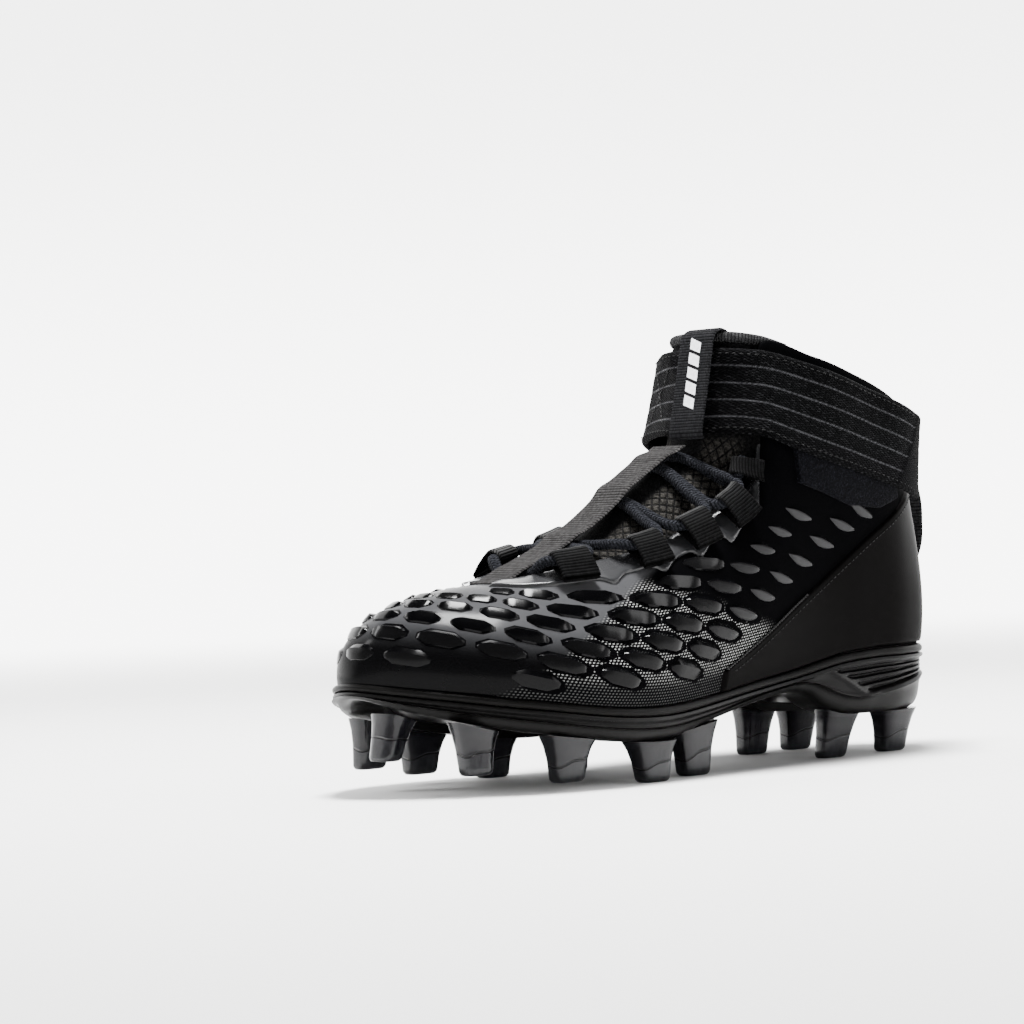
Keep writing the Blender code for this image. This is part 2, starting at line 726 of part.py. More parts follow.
def make_loop(level, outer_side):
    """One webbing loop, folded round the lace, its two layers lying down the shoe's side."""
    base = LOOP_OFF
    layers = 2.0 * WEBBING
    angles = np.radians([180, 130, 90, 52, 12, -12, -40, -90, -130])
    place = LOOP_PLACES[level]
    half = half_share(level, outer_side)
    rings = []
    for at in (place - half, place + half):
        hole = LACE_RADIUS + fold_room(at)
        rim = hole + WEBBING
        centre, along, down, out = loop_frame(at, outer_side)
        seat = centre - out * (base + rim)
        fold = [centre + down * rim * np.cos(q) + out * rim * np.sin(q) for q in angles[:4]]
        tail = [
            snapped(seat + down * 0.55 * LOOP_TAIL, base + layers + 0.4)[0],
            snapped(seat + down * LOOP_TAIL, base + layers)[0],
            snapped(seat + down * LOOP_TAIL, base)[0],
            snapped(seat + down * 0.4 * LOOP_TAIL, base)[0],
            centre - out * 0.94 * rim - down * 0.5 * rim,
        ]
        outer_ring = fold + tail
        hole_ring = [centre + down * hole * np.cos(q) + out * hole * np.sin(q) for q in angles]
        rings.append((outer_ring, hole_ring))
    points = np.array(rings[0][0] + rings[0][1] + rings[1][0] + rings[1][1])
    n = len(angles)
    faces = []
    for i in range(n):
        j = (i + 1) % n
        faces.append((i, j, n + j, n + i))
        faces.append((2 * n + j, 2 * n + i, 3 * n + i, 3 * n + j))
        faces.append((i, 2 * n + i, 2 * n + j, j))
        faces.append((n + j, 3 * n + j, 3 * n + i, n + i))
    return solid(points, faces)


def strip_z(u):
    """The centre webbing's height on the middle line."""
    rows = sorted(STRIP_LINE)
    return float(smooth(rows, u)[0])


def under_strip(u):
    """A point of the lace's middle line where it passes under the centre webbing."""
    slope = (strip_z(u + 1) - strip_z(u - 1)) / 2
    out = np.array([0, -slope, 1.0]) / np.hypot(slope, 1)
    return np.array([0, u, strip_z(u)]) - out * (STRIP_THICK + GAP + LACE_RADIUS + 0.4)


def crossing(lower, upper):
    """Where the lace crosses itself under the centre webbing, between two levels of loops."""
    share = 0.5 if upper < len(LOOP_PLACES) - 1 else 0.15
    place = LOOP_PLACES[lower] * (1 - share) + LOOP_PLACES[upper] * share
    rows = np.array(TONGUE_LINE)
    return under_strip(float(np.interp(place, rows[:, 0], rows[:, 1])))


def through_loop(level, side, upwards):
    """Lace points through one loop: a point before it, two in the fold, and one beyond it."""
    half = half_share(level, side)
    place = LOOP_PLACES[level]
    lead = 2.8 if level < len(LOOP_PLACES) - 1 else 3.6
    low = loop_frame(place - half, side)
    high = loop_frame(place + half, side)
    before = low[0] - low[1] * lead - low[2] * 2.2
    beyond = high[0] + high[1] * lead - high[2] * 2.2
    points = [before, low[0], high[0], beyond]
    return points if upwards else points[::-1]


def lace_path(starts_outer):
    """One end of the lace: from a top loop, crossing at each level, down to the lowest loop."""
    path = []
    side = starts_outer
    for level in range(len(LOOP_PLACES) - 1, -1, -1):
        points = through_loop(level, side, False)
        if path:
            path.append(path[-1] + 0.75 * (points[0] - path[-1]))
        path += points if path else points[1:]
        if level > 0:
            path.append(crossing(level - 1, level))
            path.insert(-1, path[-2] + 0.25 * (path[-1] - path[-2]))
            side = not side
    return path, side


def fine_path(points, longest=8.5):
    """A smooth path that keeps every given point and adds more only where two are far apart."""
    points = np.array(points, float)
    step = np.linalg.norm(np.diff(points, axis=0), axis=1)
    run = np.concatenate([[0], np.cumsum(step)])
    at = [0.0]
    for i, length in enumerate(step):
        parts = 1 if length < 1.1 * max(LOOP_WIDTHS) else int(np.ceil(length / longest))
        at += list(np.linspace(run[i], run[i + 1], parts + 1)[1:])
    return smooth(np.column_stack([run, points]), np.array(at))


def lifted(path, need):
    """The path moved out wherever it comes nearer than need to the tongue, away from the loops."""
    face, normal = tongue_face(4, 41)
    face = face.reshape(-1, 3)
    normal = normal.reshape(-1, 3)
    sides = (True, False)
    holes = [loop_frame(place, side)[0] for place in LOOP_PLACES for side in sides]
    reach = 0.5 * np.repeat(LOOP_WIDTHS, 2) + 1.0
    moved = path.copy()
    for i, point in enumerate(path):
        if (np.linalg.norm(point - np.array(holes), axis=1) < reach).any():
            continue
        near = np.argmin(((face - point) ** 2).sum(axis=1))
        off = np.dot(point - face[near], normal[near])
        if off < need:
            moved[i] = point + normal[near] * (need - off)
    return moved


def tube(path, radius, sides=7):
    """A round cord along a path."""
    along = np.gradient(path, axis=0)
    along = along / np.linalg.norm(along, axis=1)[:, None]
    normal = np.cross(along[0], [0.3, 0.2, 1.0])
    normal = normal / np.linalg.norm(normal)
    rings = []
    angles = np.linspace(0, 2 * np.pi, sides, endpoint=False)
    for point, direction in zip(path, along):
        normal = normal - direction * np.dot(normal, direction)
        normal = normal / np.linalg.norm(normal)
        other = np.cross(direction, normal)
        rings.append([point + radius * (np.cos(q) * normal + np.sin(q) * other) for q in angles])
    return ring_solid(rings, ladder=False)


def make_laces():
    """The lace's two halves, which cross and are joined later. The first also makes the bottom bar."""
    first, ended_outer = lace_path(True)
    other = through_loop(0, not ended_outer, True)
    middle = 0.5 * (other[1] + other[2])
    u = 0.5 * (first[-1][1] + other[0][1]) + 2.0
    first.append(under_strip(u) + [10.5, 0, -0.2])
    first.append(under_strip(u) + [-10.5, 0, -0.2])
    if ended_outer is False:
        first[-2:] = first[-2:][::-1]
    first += other[:2]
    first.append(middle - (other[2] - other[1]) * 0.04)
    second, _ = lace_path(False)
    second = second[:-2]
    second.append(middle + (other[2] - other[1]) * 0.04)
    need = LACE_RADIUS + 0.55
    return (
        tube(lifted(fine_path(first), need), LACE_RADIUS, 6),
        tube(lifted(fine_path(second), need), LACE_RADIUS, 6),
    )


def hull_lines(points):
    """A convex hull as outward directions and how far the hull reaches along each."""
    angles = np.radians(np.arange(0, 360, 2.0))
    directions = np.column_stack([np.cos(angles), np.sin(angles)])
    return directions, (points @ directions.T).max(axis=0)


def ankle_points(level):
    """Points of the upper and tongue on the strap's slanting level, 0 at its lower edge, 1 at the upper."""
    s, v = np.meshgrid(np.linspace(0, 1, 161), np.linspace(0.4, 1, 60), indexing="ij")
    upper = upper_point(s, v)
    tongue, _ = tongue_face(3, 15)
    found = []
    for grid in (upper, tongue):
        edges = smooth(STRAP_EDGES, grid[..., 1])
        above = grid[..., 2] - edges[..., 0] - (edges[..., 1] - edges[..., 0]) * level
        for axis in (0, 1):
            a = above.take(range(above.shape[axis] - 1), axis)
            b = above.take(range(1, above.shape[axis]), axis)
            p = grid.take(range(above.shape[axis] - 1), axis)
            q = grid.take(range(1, above.shape[axis]), axis)
            cross = (a < 0) != (b < 0)
            k = (a[cross] / (a[cross] - b[cross]))[:, None]
            found.append((p[cross] + (q[cross] - p[cross]) * k)[:, :2])
    return np.concatenate(found)


def strap_face(thickness, count=31, levels=4):
    """A face of the ankle strap, from its sewn start round the ankle to its free end, which stands off."""
    turn = np.linspace(0, 1, count)
    angles = np.radians(STRAP_START + (STRAP_END - STRAP_START) * turn)
    free = np.clip((turn - 0.78) / 0.22, 0, 1)
    free = free * free * (3 - 2 * free)
    heading = np.column_stack([np.cos(angles), np.sin(angles)])
    face = np.empty((count, levels, 3))
    for j, level in enumerate(np.linspace(0, 1, levels)):
        points = ankle_points(level) - [0, STRAP_CENTRE]
        directions, reach = hull_lines(points)
        facing = heading @ directions.T
        off = STRAP_INSIDE + thickness + free * (1.2 + 5.2 * level)
        slabs = (reach[None, :] + off[:, None]) / np.maximum(facing, 0.05)
        distance = np.where(facing > 0.05, slabs, np.inf).min(axis=1)
        place = heading * distance[:, None] + [0, STRAP_CENTRE]
        edges = smooth(STRAP_EDGES, place[:, 1])
        z = edges[:, 0] + (edges[:, 1] - edges[:, 0]) * level
        face[:, j] = np.column_stack([place, z])
    return face


def make_strap():
    """The elastic ankle strap, from the inner side round the front to the back of the outer side."""
    back = strap_face(0.0)
    front = strap_face(STRAP_THICK)
    return sheet_solid(front, back)


# The front pull tab: x, u, z from inside the collar, over the top and down over the strap.
FRONT_TAB = [
    (5, 107.4, 168),
    (5, 108.8, 175),
    (5, 110.6, 179.6),
    (5.2, 114.8, 181.6),
    (5.6, 118.8, 179.6),
    (6, 120.6, 175),
    (6.5, 123.2, 165),
    (7, 126.6, 152),
    (7.4, 129.6, 141),
    (7.4, 129.9, 138.4),
    (7.4, 129.0, 136.9),
]
TAB_WIDTH = 20.0

# The heel pull loop's free part on the middle line, from its upper to its lower sewn end: u, z.
HEEL_TAB = [(-4, 120), (-9.5, 115.5), (-12.2, 108), (-12.6, 98), (-11.6, 89), (-8.5, 83)]
HEEL_TAB_TOP = (129, 123.5)
HEEL_TAB_FOOT = (78, 71.5)


def make_front_tab():
    """The pull tab on the front of the ankle, which the strap passes through."""
    path = resample(FRONT_TAB, 22)
    return ribbon(path, (1, 0, 0), TAB_WIDTH, 1.4)


def make_heel_tab():
    """The pull loop standing off the back of the heel."""
    on_heel = []
    for z in HEEL_TAB_TOP + HEEL_TAB_FOOT:
        off = GAP + 0.15 if z > COUNTER_TOP[0][1] else GAP + 0.7 + OVERLAY
        v = v_at_height(np.array(0.0), z)
        on_heel.append(upper_offset(0.0, v, off))
    free = [(0, u, z) for u, z in HEEL_TAB]
    path = resample(on_heel[:2] + free + on_heel[2:], 18)
    return ribbon(path, (1, 0, 0), 13.0, -1.5)


def make_stud(x, u, z, length, width, root_length, root_width, lean_x, lean_u):
    """One stud: a flat-bottomed blade that flares up to the plate's underside."""
    sides = 10
    angles = np.linspace(0, 2 * np.pi, sides, endpoint=False) + np.pi / sides
    corner = np.stack([np.cos(angles), np.sin(angles)], axis=1)
    squarer = np.sign(corner) * np.abs(corner) ** 0.6
    rings = []
    # How far up, and how much of the flare is reached there.
    for rise, flare in ((0.0, 0.0), (0.08, 0.16), (0.5, 0.34), (0.78, 0.62), (1.0, 1.0)):
        half_width = 0.5 * (width + (root_width - width) * flare)
        half_length = 0.5 * (length + (root_length - length) * flare)
        if rise == 0.0:
            half_width -= 0.6
            half_length -= 0.6
        px = x + lean_x * rise + squarer[:, 0] * half_width
        pu = u + lean_u * rise + squarer[:, 1] * half_length
        top = height(pu, EDGE) - STUD_GAP
        rings.append(np.column_stack([px, pu, z + (top - z) * rise]))
    half_u = 0.55 * (rings[-1][:, 1] - u - lean_u) + u + lean_u
    half_x = 0.55 * (rings[-1][:, 0] - x - lean_x) + x + lean_x
    rings.append(np.column_stack([half_x, half_u, height(half_u, EDGE) - STUD_GAP]))
    return ring_solid(rings, ladder=False)


def build_parts():
    """Every node's mesh by name, in table units."""
    parts = {
        "outsole_plate": make_plate(),
        "midsole": make_midsole(),
        "insole": make_insole(),
        "upper": make_upper(),
        "tongue": make_tongue(),
        "heel_counter": make_counter(),
        "eyestay_outer": make_eyestay(True),
        "eyestay_inner": make_eyestay(False),
        "strap_loop_patch": make_patch(),
        "centre_webbing": make_strip(),
        "ankle_strap": make_strap(),
        "front_pull_tab": make_front_tab(),
        "heel_pull_loop": make_heel_tab(),
    }
    for name, *numbers in STUDS:
        parts[name] = make_stud(*numbers)
    for level in range(len(LOOP_PLACES)):
        parts[f"lace_loop_outer_{level + 1}"] = make_loop(level, True)
        parts[f"lace_loop_inner_{level + 1}"] = make_loop(level, False)
    parts["lace"], parts["lace_second"] = make_laces()
    return parts


def placed(points):
    """Table units to millimetres in the part's own directions."""
    points = np.asarray(points, float) * UNIT
    return np.column_stack([points[:, 0], -points[:, 1], points[:, 2]])


def add_object(name, points, faces):
    """A mesh object from points in millimetres."""
    mesh = bpy.data.meshes.new(name)
    mesh.from_pydata([tuple(p) for p in points * MILLIMETRE], [], faces)
    mesh.update()
    obj = bpy.data.objects.new(name, mesh)
    bpy.context.scene.collection.objects.link(obj)
    return obj


def join(first, second):
    """Joins the second solid into the first and removes it."""
    cut = first.modifiers.new("join", "BOOLEAN")
    cut.operation = "UNION"
    cut.solver = "EXACT"
    cut.object = second
    graph = bpy.context.evaluated_depsgraph_get()
    joined = bpy.data.meshes.new_from_object(first.evaluated_get(graph))
    first.modifiers.clear()
    first.data = joined
    bpy.data.objects.remove(second)


def main():
    for obj in list(bpy.data.objects):
        bpy.data.objects.remove(obj)
    parts = {name: (placed(points), faces) for name, (points, faces) in build_parts().items()}
    everything = np.concatenate([points for points, _ in parts.values()])
    low = everything.min(axis=0)
    high = everything.max(axis=0)
    origin = np.array([0.5 * (low[0] + high[0]), 0.5 * (low[1] + high[1]), low[2]])
    for name, (points, faces) in parts.items():
        add_object(name, points - origin, faces)
    join(bpy.data.objects["lace"], bpy.data.objects["lace_second"])


main()
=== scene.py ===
"""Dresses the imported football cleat: fine surfaces, procedural materials, a plain studio and the camera.

Lengths are millimetres in table units, as in the part: x to the outer side, u from the back of the heel
forward, z up. world() turns them into metres in the frame.
"""

import bpy
import numpy as np
from mathutils import Matrix, Vector, kdtree

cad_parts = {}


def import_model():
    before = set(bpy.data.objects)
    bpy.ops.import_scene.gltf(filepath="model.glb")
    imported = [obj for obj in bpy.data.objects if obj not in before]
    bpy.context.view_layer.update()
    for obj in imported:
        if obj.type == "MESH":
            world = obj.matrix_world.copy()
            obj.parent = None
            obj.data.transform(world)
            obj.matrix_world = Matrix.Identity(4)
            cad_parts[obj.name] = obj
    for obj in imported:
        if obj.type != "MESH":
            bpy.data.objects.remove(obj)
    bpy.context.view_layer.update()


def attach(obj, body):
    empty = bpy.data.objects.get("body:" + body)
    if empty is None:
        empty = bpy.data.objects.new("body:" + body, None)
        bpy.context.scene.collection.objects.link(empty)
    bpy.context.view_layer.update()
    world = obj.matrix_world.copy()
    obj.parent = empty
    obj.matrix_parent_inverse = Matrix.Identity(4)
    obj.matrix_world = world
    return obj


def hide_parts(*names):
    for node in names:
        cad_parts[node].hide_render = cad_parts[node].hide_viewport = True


GAP = 0.35
WALL = 2.0
COLLAR_WALL = 3.0
FEATHER_INSET = 2.2
OVERLAY = 0.9
LACE_RADIUS = 2.0
WEBBING = 1.2
STRAP_THICK = 2.6
# The footprint: u, then how far it reaches to the outer and to the inner side.
OUTLINE = [
    (4, 17, 17),
    (14, 28.5, 27.5),
    (30, 34.5, 33.5),
    (50, 35.5, 35.5),
    (75, 35.5, 34.5),
    (100, 36, 31),
    (125, 39, 28.5),
    (150, 44, 29),
    (175, 50, 36),
    (200, 54.5, 45),
    (215, 55.5, 49.5),
    (225, 55, 51),
    (240, 52, 52),
    (255, 46, 51),
    (270, 36, 47),
    (285, 21, 38),
    (295, 5, 27),
]
TOE_TIP = (-10.5, 300)
# Where the throat ends at the collar, u.
THROAT_END = 104
# Heights along the shoe: u, top of the midsole rim, underside of the midsole rim, crest of the wave
# on the plate's side, bottom edge of the plate.
HEIGHTS = [
    (0, 45.7, 42.2, 34.5, 21.0),
    (20, 45.6, 42.1, 30.5, 18.6),
    (34, 45.5, 42.0, 28.2, 18.0),
    (47, 45.3, 41.9, 26.4, 18.0),
    (59, 44.6, 41.3, 25.2, 18.2),
    (71, 43.6, 40.2, 27.2, 19.4),
    (80, 42.1, 38.8, 30.2, 22.8),
    (88, 40.6, 37.4, 32.8, 27.6),
    (98, 38.8, 35.8, 33.2, 29.4),
    (111, 37.1, 34.1, 31.6, 28.2),
    (125, 35.5, 32.4, 29.6, 26.3),
    (139, 33.8, 30.8, 27.4, 24.1),
    (152, 32.3, 29.3, 25.3, 21.9),
    (167, 31.0, 27.8, 23.4, 19.4),
    (181, 30.1, 26.7, 22.0, 16.8),
    (206, 30.2, 26.9, 22.0, 16.9),
    (227, 32.0, 28.8, 24.0, 19.5),
    (245, 34.6, 31.4, 26.6, 21.9),
    (266, 37.7, 34.6, 30.2, 25.4),
    (280, 40.2, 37.2, 33.2, 29.0),
    (293, 42.8, 39.9, 37.0, 33.6),
    (301, 44.8, 42.0, 40.4, 38.4),
]
RIM, BAND, WAVE, EDGE = 0, 1, 2, 3
# The upper's ribs from the feather edge to the topline: the foot's u, then two shaping points and the
# topline point, each as x, u, z. Outer side first, from the heel to the toe.
HEEL_RIB = (0, (0, -3, 80), (0, 13, 106), (0, 9, 148))
OUTER_RIBS = [
    (13, (29, 9, 79), (22, 19, 108), (19, 14, 149)),
    (34, (39, 31, 79), (34, 34, 112), (30, 31, 153)),
    (60, (42, 58, 80), (39, 60, 118), (37, 56, 160)),
    (85, (43, 84, 77), (42, 82, 122), (37, 83, 168.5)),
    (104, (46, 104, 74), (45, 103, 122), (28, 105, 174.5)),
    (121, (49, 121, 70), (43, 119, 110), (30, 108, 147)),
    (138, (51, 138, 66), (41, 134, 99), (29.5, 113, 121)),
    (155, (53, 156, 60), (40, 150, 91), (28, 127, 109)),
    (172, (56, 173, 56), (41, 167, 84), (26, 149, 100)),
    (190, (60, 192, 52), (43, 187, 78), (24, 173, 92)),
    (208, (61, 210, 50), (43, 206, 74), (20.5, 198, 87.5)),
    (226, (61, 229, 49), (39, 226, 74), (15.5, 216, 84.3)),
    (244, (56, 248, 51), (34, 243, 76), (10, 225.5, 82.2)),
    (262, (47, 266, 55), (27, 256, 77.5), (5.5, 229.5, 81.5)),
    (280, (29, 284, 61), (16, 268, 79), (2, 231.5, 81)),
    (293, (9, 296, 66), (7, 276, 80), (-0.3, 232, 80.8)),
]
TOE_RIB = (300, (-9, 299, 67), (-4, 279, 80), (-2, 231.8, 80.8))
INNER_RIBS = [
    (293, (-29, 295, 65), (-15, 275, 79.5), (-4, 231, 80.9)),
    (280, (-44, 281, 60), (-24, 266, 78.5), (-7, 229, 81.3)),
    (262, (-54, 262, 55), (-33, 254, 77), (-11, 224, 82.2)),
    (244, (-57, 245, 51), (-38, 242, 75.5), (-15.5, 215, 84.3)),
    (226, (-56, 227, 51), (-40, 223, 75.5), (-19.5, 199, 87.3)),
    (208, (-53, 209, 53), (-41, 203, 78.5), (-23, 177, 91.3)),
    (190, (-48, 191, 57), (-40, 184, 84), (-25, 156, 97.5)),
    (172, (-44, 172, 62), (-40, 165, 91), (-27, 136, 105)),
    (155, (-42, 155, 66), (-41, 148, 99), (-28.5, 119, 115)),
    (138, (-43, 138, 71), (-42, 132, 108), (-29.5, 109.5, 130)),
    (120, (-44, 119, 74), (-43, 114, 118), (-30, 107, 152)),
    (104, (-44, 103, 76), (-44, 101, 124), (-28, 104.5, 174)),
    (85, (-42, 84, 78), (-42, 82, 122), (-37, 83, 168.5)),
    (60, (-41, 58, 80), (-39, 60, 118), (-37, 56, 160)),
    (34, (-38, 31, 79), (-33, 34, 112), (-30, 31, 153)),
    (13, (-28, 9, 79), (-21, 19, 108), (-19, 14, 149)),
]
# The heel counter's upper edge: u of the foot point below it, then z.
COUNTER_TOP = [(0, 118), (20, 112), (43, 101), (67, 88), (100, 68), (126, 53), (150, 41)]
COUNTER_FRONT = 150
# Studs: name, x, u and z of the flat bottom, its length and width, the root's length and width, and how
# far the root sits to the outside and forward of the bottom.
STUDS = [
    ("stud_heel_outer_rear", 22, 30, 0, 13, 8, 22, 13, 2, -1),
    ("stud_heel_outer_front", 24, 69, 0, 13, 8, 20, 12, 2, -3),
    ("stud_heel_inner_rear", -27, 38, 0, 13, 8, 22, 13, 1, -2),
    ("stud_heel_inner_front", -25, 67, 0, 13, 8, 20, 12, 0, -2),
    ("stud_ball_outer_rear", 37, 162, 0, 13, 8, 23, 13, 0, 0),
    ("stud_ball_outer_middle", 46, 193, 0, 13, 8, 24, 13, 0, 1),
    ("stud_ball_outer_front", 42, 235, 3, 13, 8, 24, 13, 1, 0),
    ("stud_toe_outer", 30, 271, 8, 12, 8, 21, 12, -2, -1),
    ("stud_toe_tip", -2, 290, 14, 9, 12, 12, 19, 0, -5),
    ("stud_toe_inner", -31, 275, 9, 12, 8, 20, 12, 1, -2),
    ("stud_ball_inner_front", -42, 240, 4, 13, 8, 23, 13, 0, -1),
    ("stud_ball_inner_middle", -39, 204, 0, 13, 8, 24, 13, 0, 0),
    ("stud_ball_inner_rear", -28, 170, 0, 13, 8, 22, 12, 0, 0),
]
# Where the webbing loops hold the lace: shares of the throat edge from the vamp to the collar.
LOOP_PLACES = [0.165, 0.345, 0.485, 0.605, 0.715]
LOOP_WIDTHS = [14.5, 14.5, 14.5, 13.0, 10.5]
LOOP_TAIL = 11.0
LOOP_DROP = 3.0
LOOP_OFF = 2.8
# The centre webbing's upper face on the middle line: u, z.
STRIP_LINE = [
    (238, 84.4),
    (229, 85.8),
    (213, 91),
    (200, 96.5),
    (187, 103),
    (175, 110.5),
    (163, 119),
    (150, 127),
    (138, 132.3),
    (133, 134.2),
]
STRIP_WIDTH = 19.0
STRIP_THICK = 1.4
# The tongue's outer face on the middle line: share of the throat edge beside it, u, z.
TONGUE_LINE = [
    (0.06, 228, 78.6),
    (0.165, 212, 84.6),
    (0.26, 196, 91.7),
    (0.345, 180, 99.6),
    (0.42, 167, 108.6),
    (0.485, 155, 116.8),
    (0.55, 144, 122.6),
    (0.61, 135.5, 126.2),
    (0.665, 129, 129),
    (0.705, 125.6, 133),
    (0.76, 123.6, 139.5),
    (0.85, 120.8, 151),
    (0.93, 118.2, 162),
]
# The tongue where it stands at the collar, and its hidden end under the vamp: half of each section, as
# x, u, z from the middle to the edge.
TONGUE_TOP = [
    [(0, 114.5, 179), (14.5, 113, 178.5), (23.5, 103, 176.5), (28.5, 92, 172.5)],
    [(0, 116.8, 171), (14.5, 115.4, 170.5), (23, 104.5, 169), (28, 92, 165)],
]
TONGUE_TOE = [(0, 239, 77.0), (6, 238, 76.4), (11, 234, 75.2), (16, 229, 72.5)]
# The ankle strap's edges: u, bottom z, top z.
STRAP_EDGES = [
    (-5, 101, 137.5),
    (25, 110, 147),
    (65, 120.5, 159.3),
    (89, 127, 166.8),
    (107, 133, 172.4),
    (118, 138, 174.5),
    (130, 138.5, 175),
]
STRAP_CENTRE = 62
STRAP_START = 165
STRAP_END = -54
STRAP_INSIDE = 1.8


def smooth(table, at):
    """Reads a table, whose first column rises, with a smooth curve through its rows."""
    rows = np.array(table, float)
    key = rows[:, 0]
    value = rows[:, 1:]
    slope = np.gradient(value, key, axis=0)
    at = np.clip(np.asarray(at, float), key[0], key[-1])
    i = np.clip(np.searchsorted(key, at, side="right") - 1, 0, len(key) - 2)
    step = (key[i + 1] - key[i])[..., None]
    k = (at - key[i])[..., None] / step
    ends = value[i] * (1 + 2 * k) * (1 - k) ** 2 + value[i + 1] * k * k * (3 - 2 * k)
    return ends + (slope[i] * k * (1 - k) ** 2 - slope[i + 1] * k * k * (1 - k)) * step


def unit(vectors):
    """Each vector at length 1."""
    return vectors / np.linalg.norm(vectors, axis=-1, keepdims=True)


def run_of(points):
    """Lengths along the first index of a grid or path."""
    step = np.linalg.norm(np.diff(points, axis=0), axis=-1)
    zero = np.zeros((1,) + step.shape[1:])
    return np.concatenate([zero, np.cumsum(step, axis=0)])


def run_up(grid):
    """Lengths along the second index of a grid."""
    return run_of(np.swapaxes(grid, 0, 1)).T


def evened(rows, times):
    """The rows evened out with their neighbours this many times, with both ends kept."""
    rows = np.array(rows, float)
    for _ in range(times):
        rows[1:-1] = 0.25 * rows[:-2] + 0.5 * rows[1:-1] + 0.25 * rows[2:]
    return rows


def height(u, line):
    """The height of one of the sole's lines at u."""
    return smooth(HEIGHTS, u)[..., line]


PER_SPAN = 24


def closed_spline(points):
    """A dense closed curve through the points, with PER_SPAN steps from each to the next."""
    p = np.array(points, float)
    n = len(p)
    chord = np.linalg.norm(np.roll(p, -1, axis=0) - p, axis=1)
    dense = []
    for i in range(n):
        before, here, after, beyond = p[i - 1], p[i], p[(i + 1) % n], p[(i + 2) % n]
        d0, d1, d2 = chord[i - 1], chord[i], chord[(i + 1) % n]
        start = ((here - before) / d0 * d1 + (after - here) / d1 * d0) / (d0 + d1) * d1
        finish = ((after - here) / d1 * d2 + (beyond - after) / d2 * d1) / (d1 + d2) * d1
        k = np.linspace(0, 1, PER_SPAN, endpoint=False)[:, None]
        span = here * (1 + 2 * k) * (1 - k) ** 2 + after * k * k * (3 - 2 * k)
        dense.append(span + start * k * (1 - k) ** 2 - finish * k * k * (1 - k))
    return np.concatenate(dense)


def footprint():
    """The outline as (share, x, u, normal x, normal u), share 0 at the heel, 0.5 at the toe tip."""
    outer = [(row[1], row[0]) for row in OUTLINE]
    inner = [(-row[2], row[0]) for row in reversed(OUTLINE)]
    loop = closed_spline([(0, 0)] + outer + [TOE_TIP] + inner)
    half = PER_SPAN * (len(OUTLINE) + 1)
    ring = np.concatenate([loop, loop[:1]])
    run = run_of(ring)
    inner_share = 0.5 + 0.5 * (run - run[half]) / (run[-1] - run[half])
    share = np.where(run <= run[half], 0.5 * run / run[half], inner_share)
    along = np.roll(loop, -1, axis=0) - np.roll(loop, 1, axis=0)
    along = unit(np.concatenate([along, along[:1]]))
    return np.column_stack([share, ring, along[:, 1], -along[:, 0]])


FOOTPRINT = footprint()


def outline(share, inset=0.0):
    """Points (x, u) on the footprint, moved in by inset."""
    share = np.mod(share, 1.0)
    columns = [np.interp(share, FOOTPRINT[:, 0], FOOTPRINT[:, i]) for i in range(1, 5)]
    scale = np.hypot(columns[2], columns[3])
    x = columns[0] - inset * columns[2] / scale
    u = columns[1] - inset * columns[3] / scale
    return np.stack([x, u], axis=-1)


def share_at(u, outer_side):
    """The share of the perimeter where the outline has this u, on one side."""
    half = FOOTPRINT[:, 0] <= 0.5
    rows = FOOTPRINT[half] if outer_side else FOOTPRINT[~half]
    order = np.argsort(rows[:, 2])
    return np.interp(u, rows[order, 2], rows[order, 0])


def rib_table():
    """All ribs as rows of share, then the nine numbers of the shaping and topline points."""
    rows = [(0.0, *HEEL_RIB[1:])]
    rows += [(float(share_at(rib[0], True)), *rib[1:]) for rib in OUTER_RIBS]
    rows += [(0.5, *TOE_RIB[1:])]
    rows += [(float(share_at(rib[0], False)), *rib[1:]) for rib in INNER_RIBS]
    flat = np.array([[row[0], *row[1], *row[2], *row[3]] for row in rows])
    before = flat[-3:].copy()
    before[:, 0] -= 1.0
    after = flat[:3].copy()
    after[:, 0] += 1.0
    return np.concatenate([before, flat, after])


RIBS = rib_table()


def upper_point(share, v):
    """The upper's outer face: v runs from 0 at the feather edge to 1 at the topline."""
    share = np.mod(np.asarray(share, float), 1.0)
    v = np.asarray(v, float)
    share, v = np.broadcast_arrays(share, v)
    ribs = smooth(RIBS, share)
    foot = outline(share, FEATHER_INSET)
    foot_z = height(foot[..., 1], RIM) + GAP
    p0 = np.concatenate([foot, foot_z[..., None]], axis=-1)
    p1 = ribs[..., 0:3]
    p2 = ribs[..., 3:6]
    p3 = ribs[..., 6:9]
    k = v[..., None]
    return p0 * (1 - k) ** 3 + 3 * p1 * k * (1 - k) ** 2 + 3 * p2 * k * k * (1 - k) + p3 * k ** 3


def upper_normal(share, v):
    """The outward direction of the upper's face."""
    share, v = np.broadcast_arrays(np.asarray(share, float), np.asarray(v, float))
    across = upper_point(share + 0.002, v) - upper_point(share - 0.002, v)
    low = np.clip(v - 0.01, 0, 1)
    high = np.clip(v + 0.01, 0, 1)
    rising = upper_point(share, high) - upper_point(share, low)
    normal = np.cross(across, rising)
    return unit(normal)


def upper_offset(share, v, out):
    """A point out from the upper's face."""
    out = np.asarray(out, float)
    return upper_point(share, v) + upper_normal(share, v) * out[..., None]


def wall_at(share, v):
    """The wall's thickness, which grows towards the padded collar."""
    share, v = np.broadcast_arrays(np.mod(np.asarray(share, float), 1.0), np.asarray(v, float))
    collar = np.clip((smooth(RIBS, share)[..., 8] - 130) / 20, 0, 1)
    return WALL + (COLLAR_WALL - WALL) * collar * np.clip((v - 0.7) / 0.25, 0, 1)


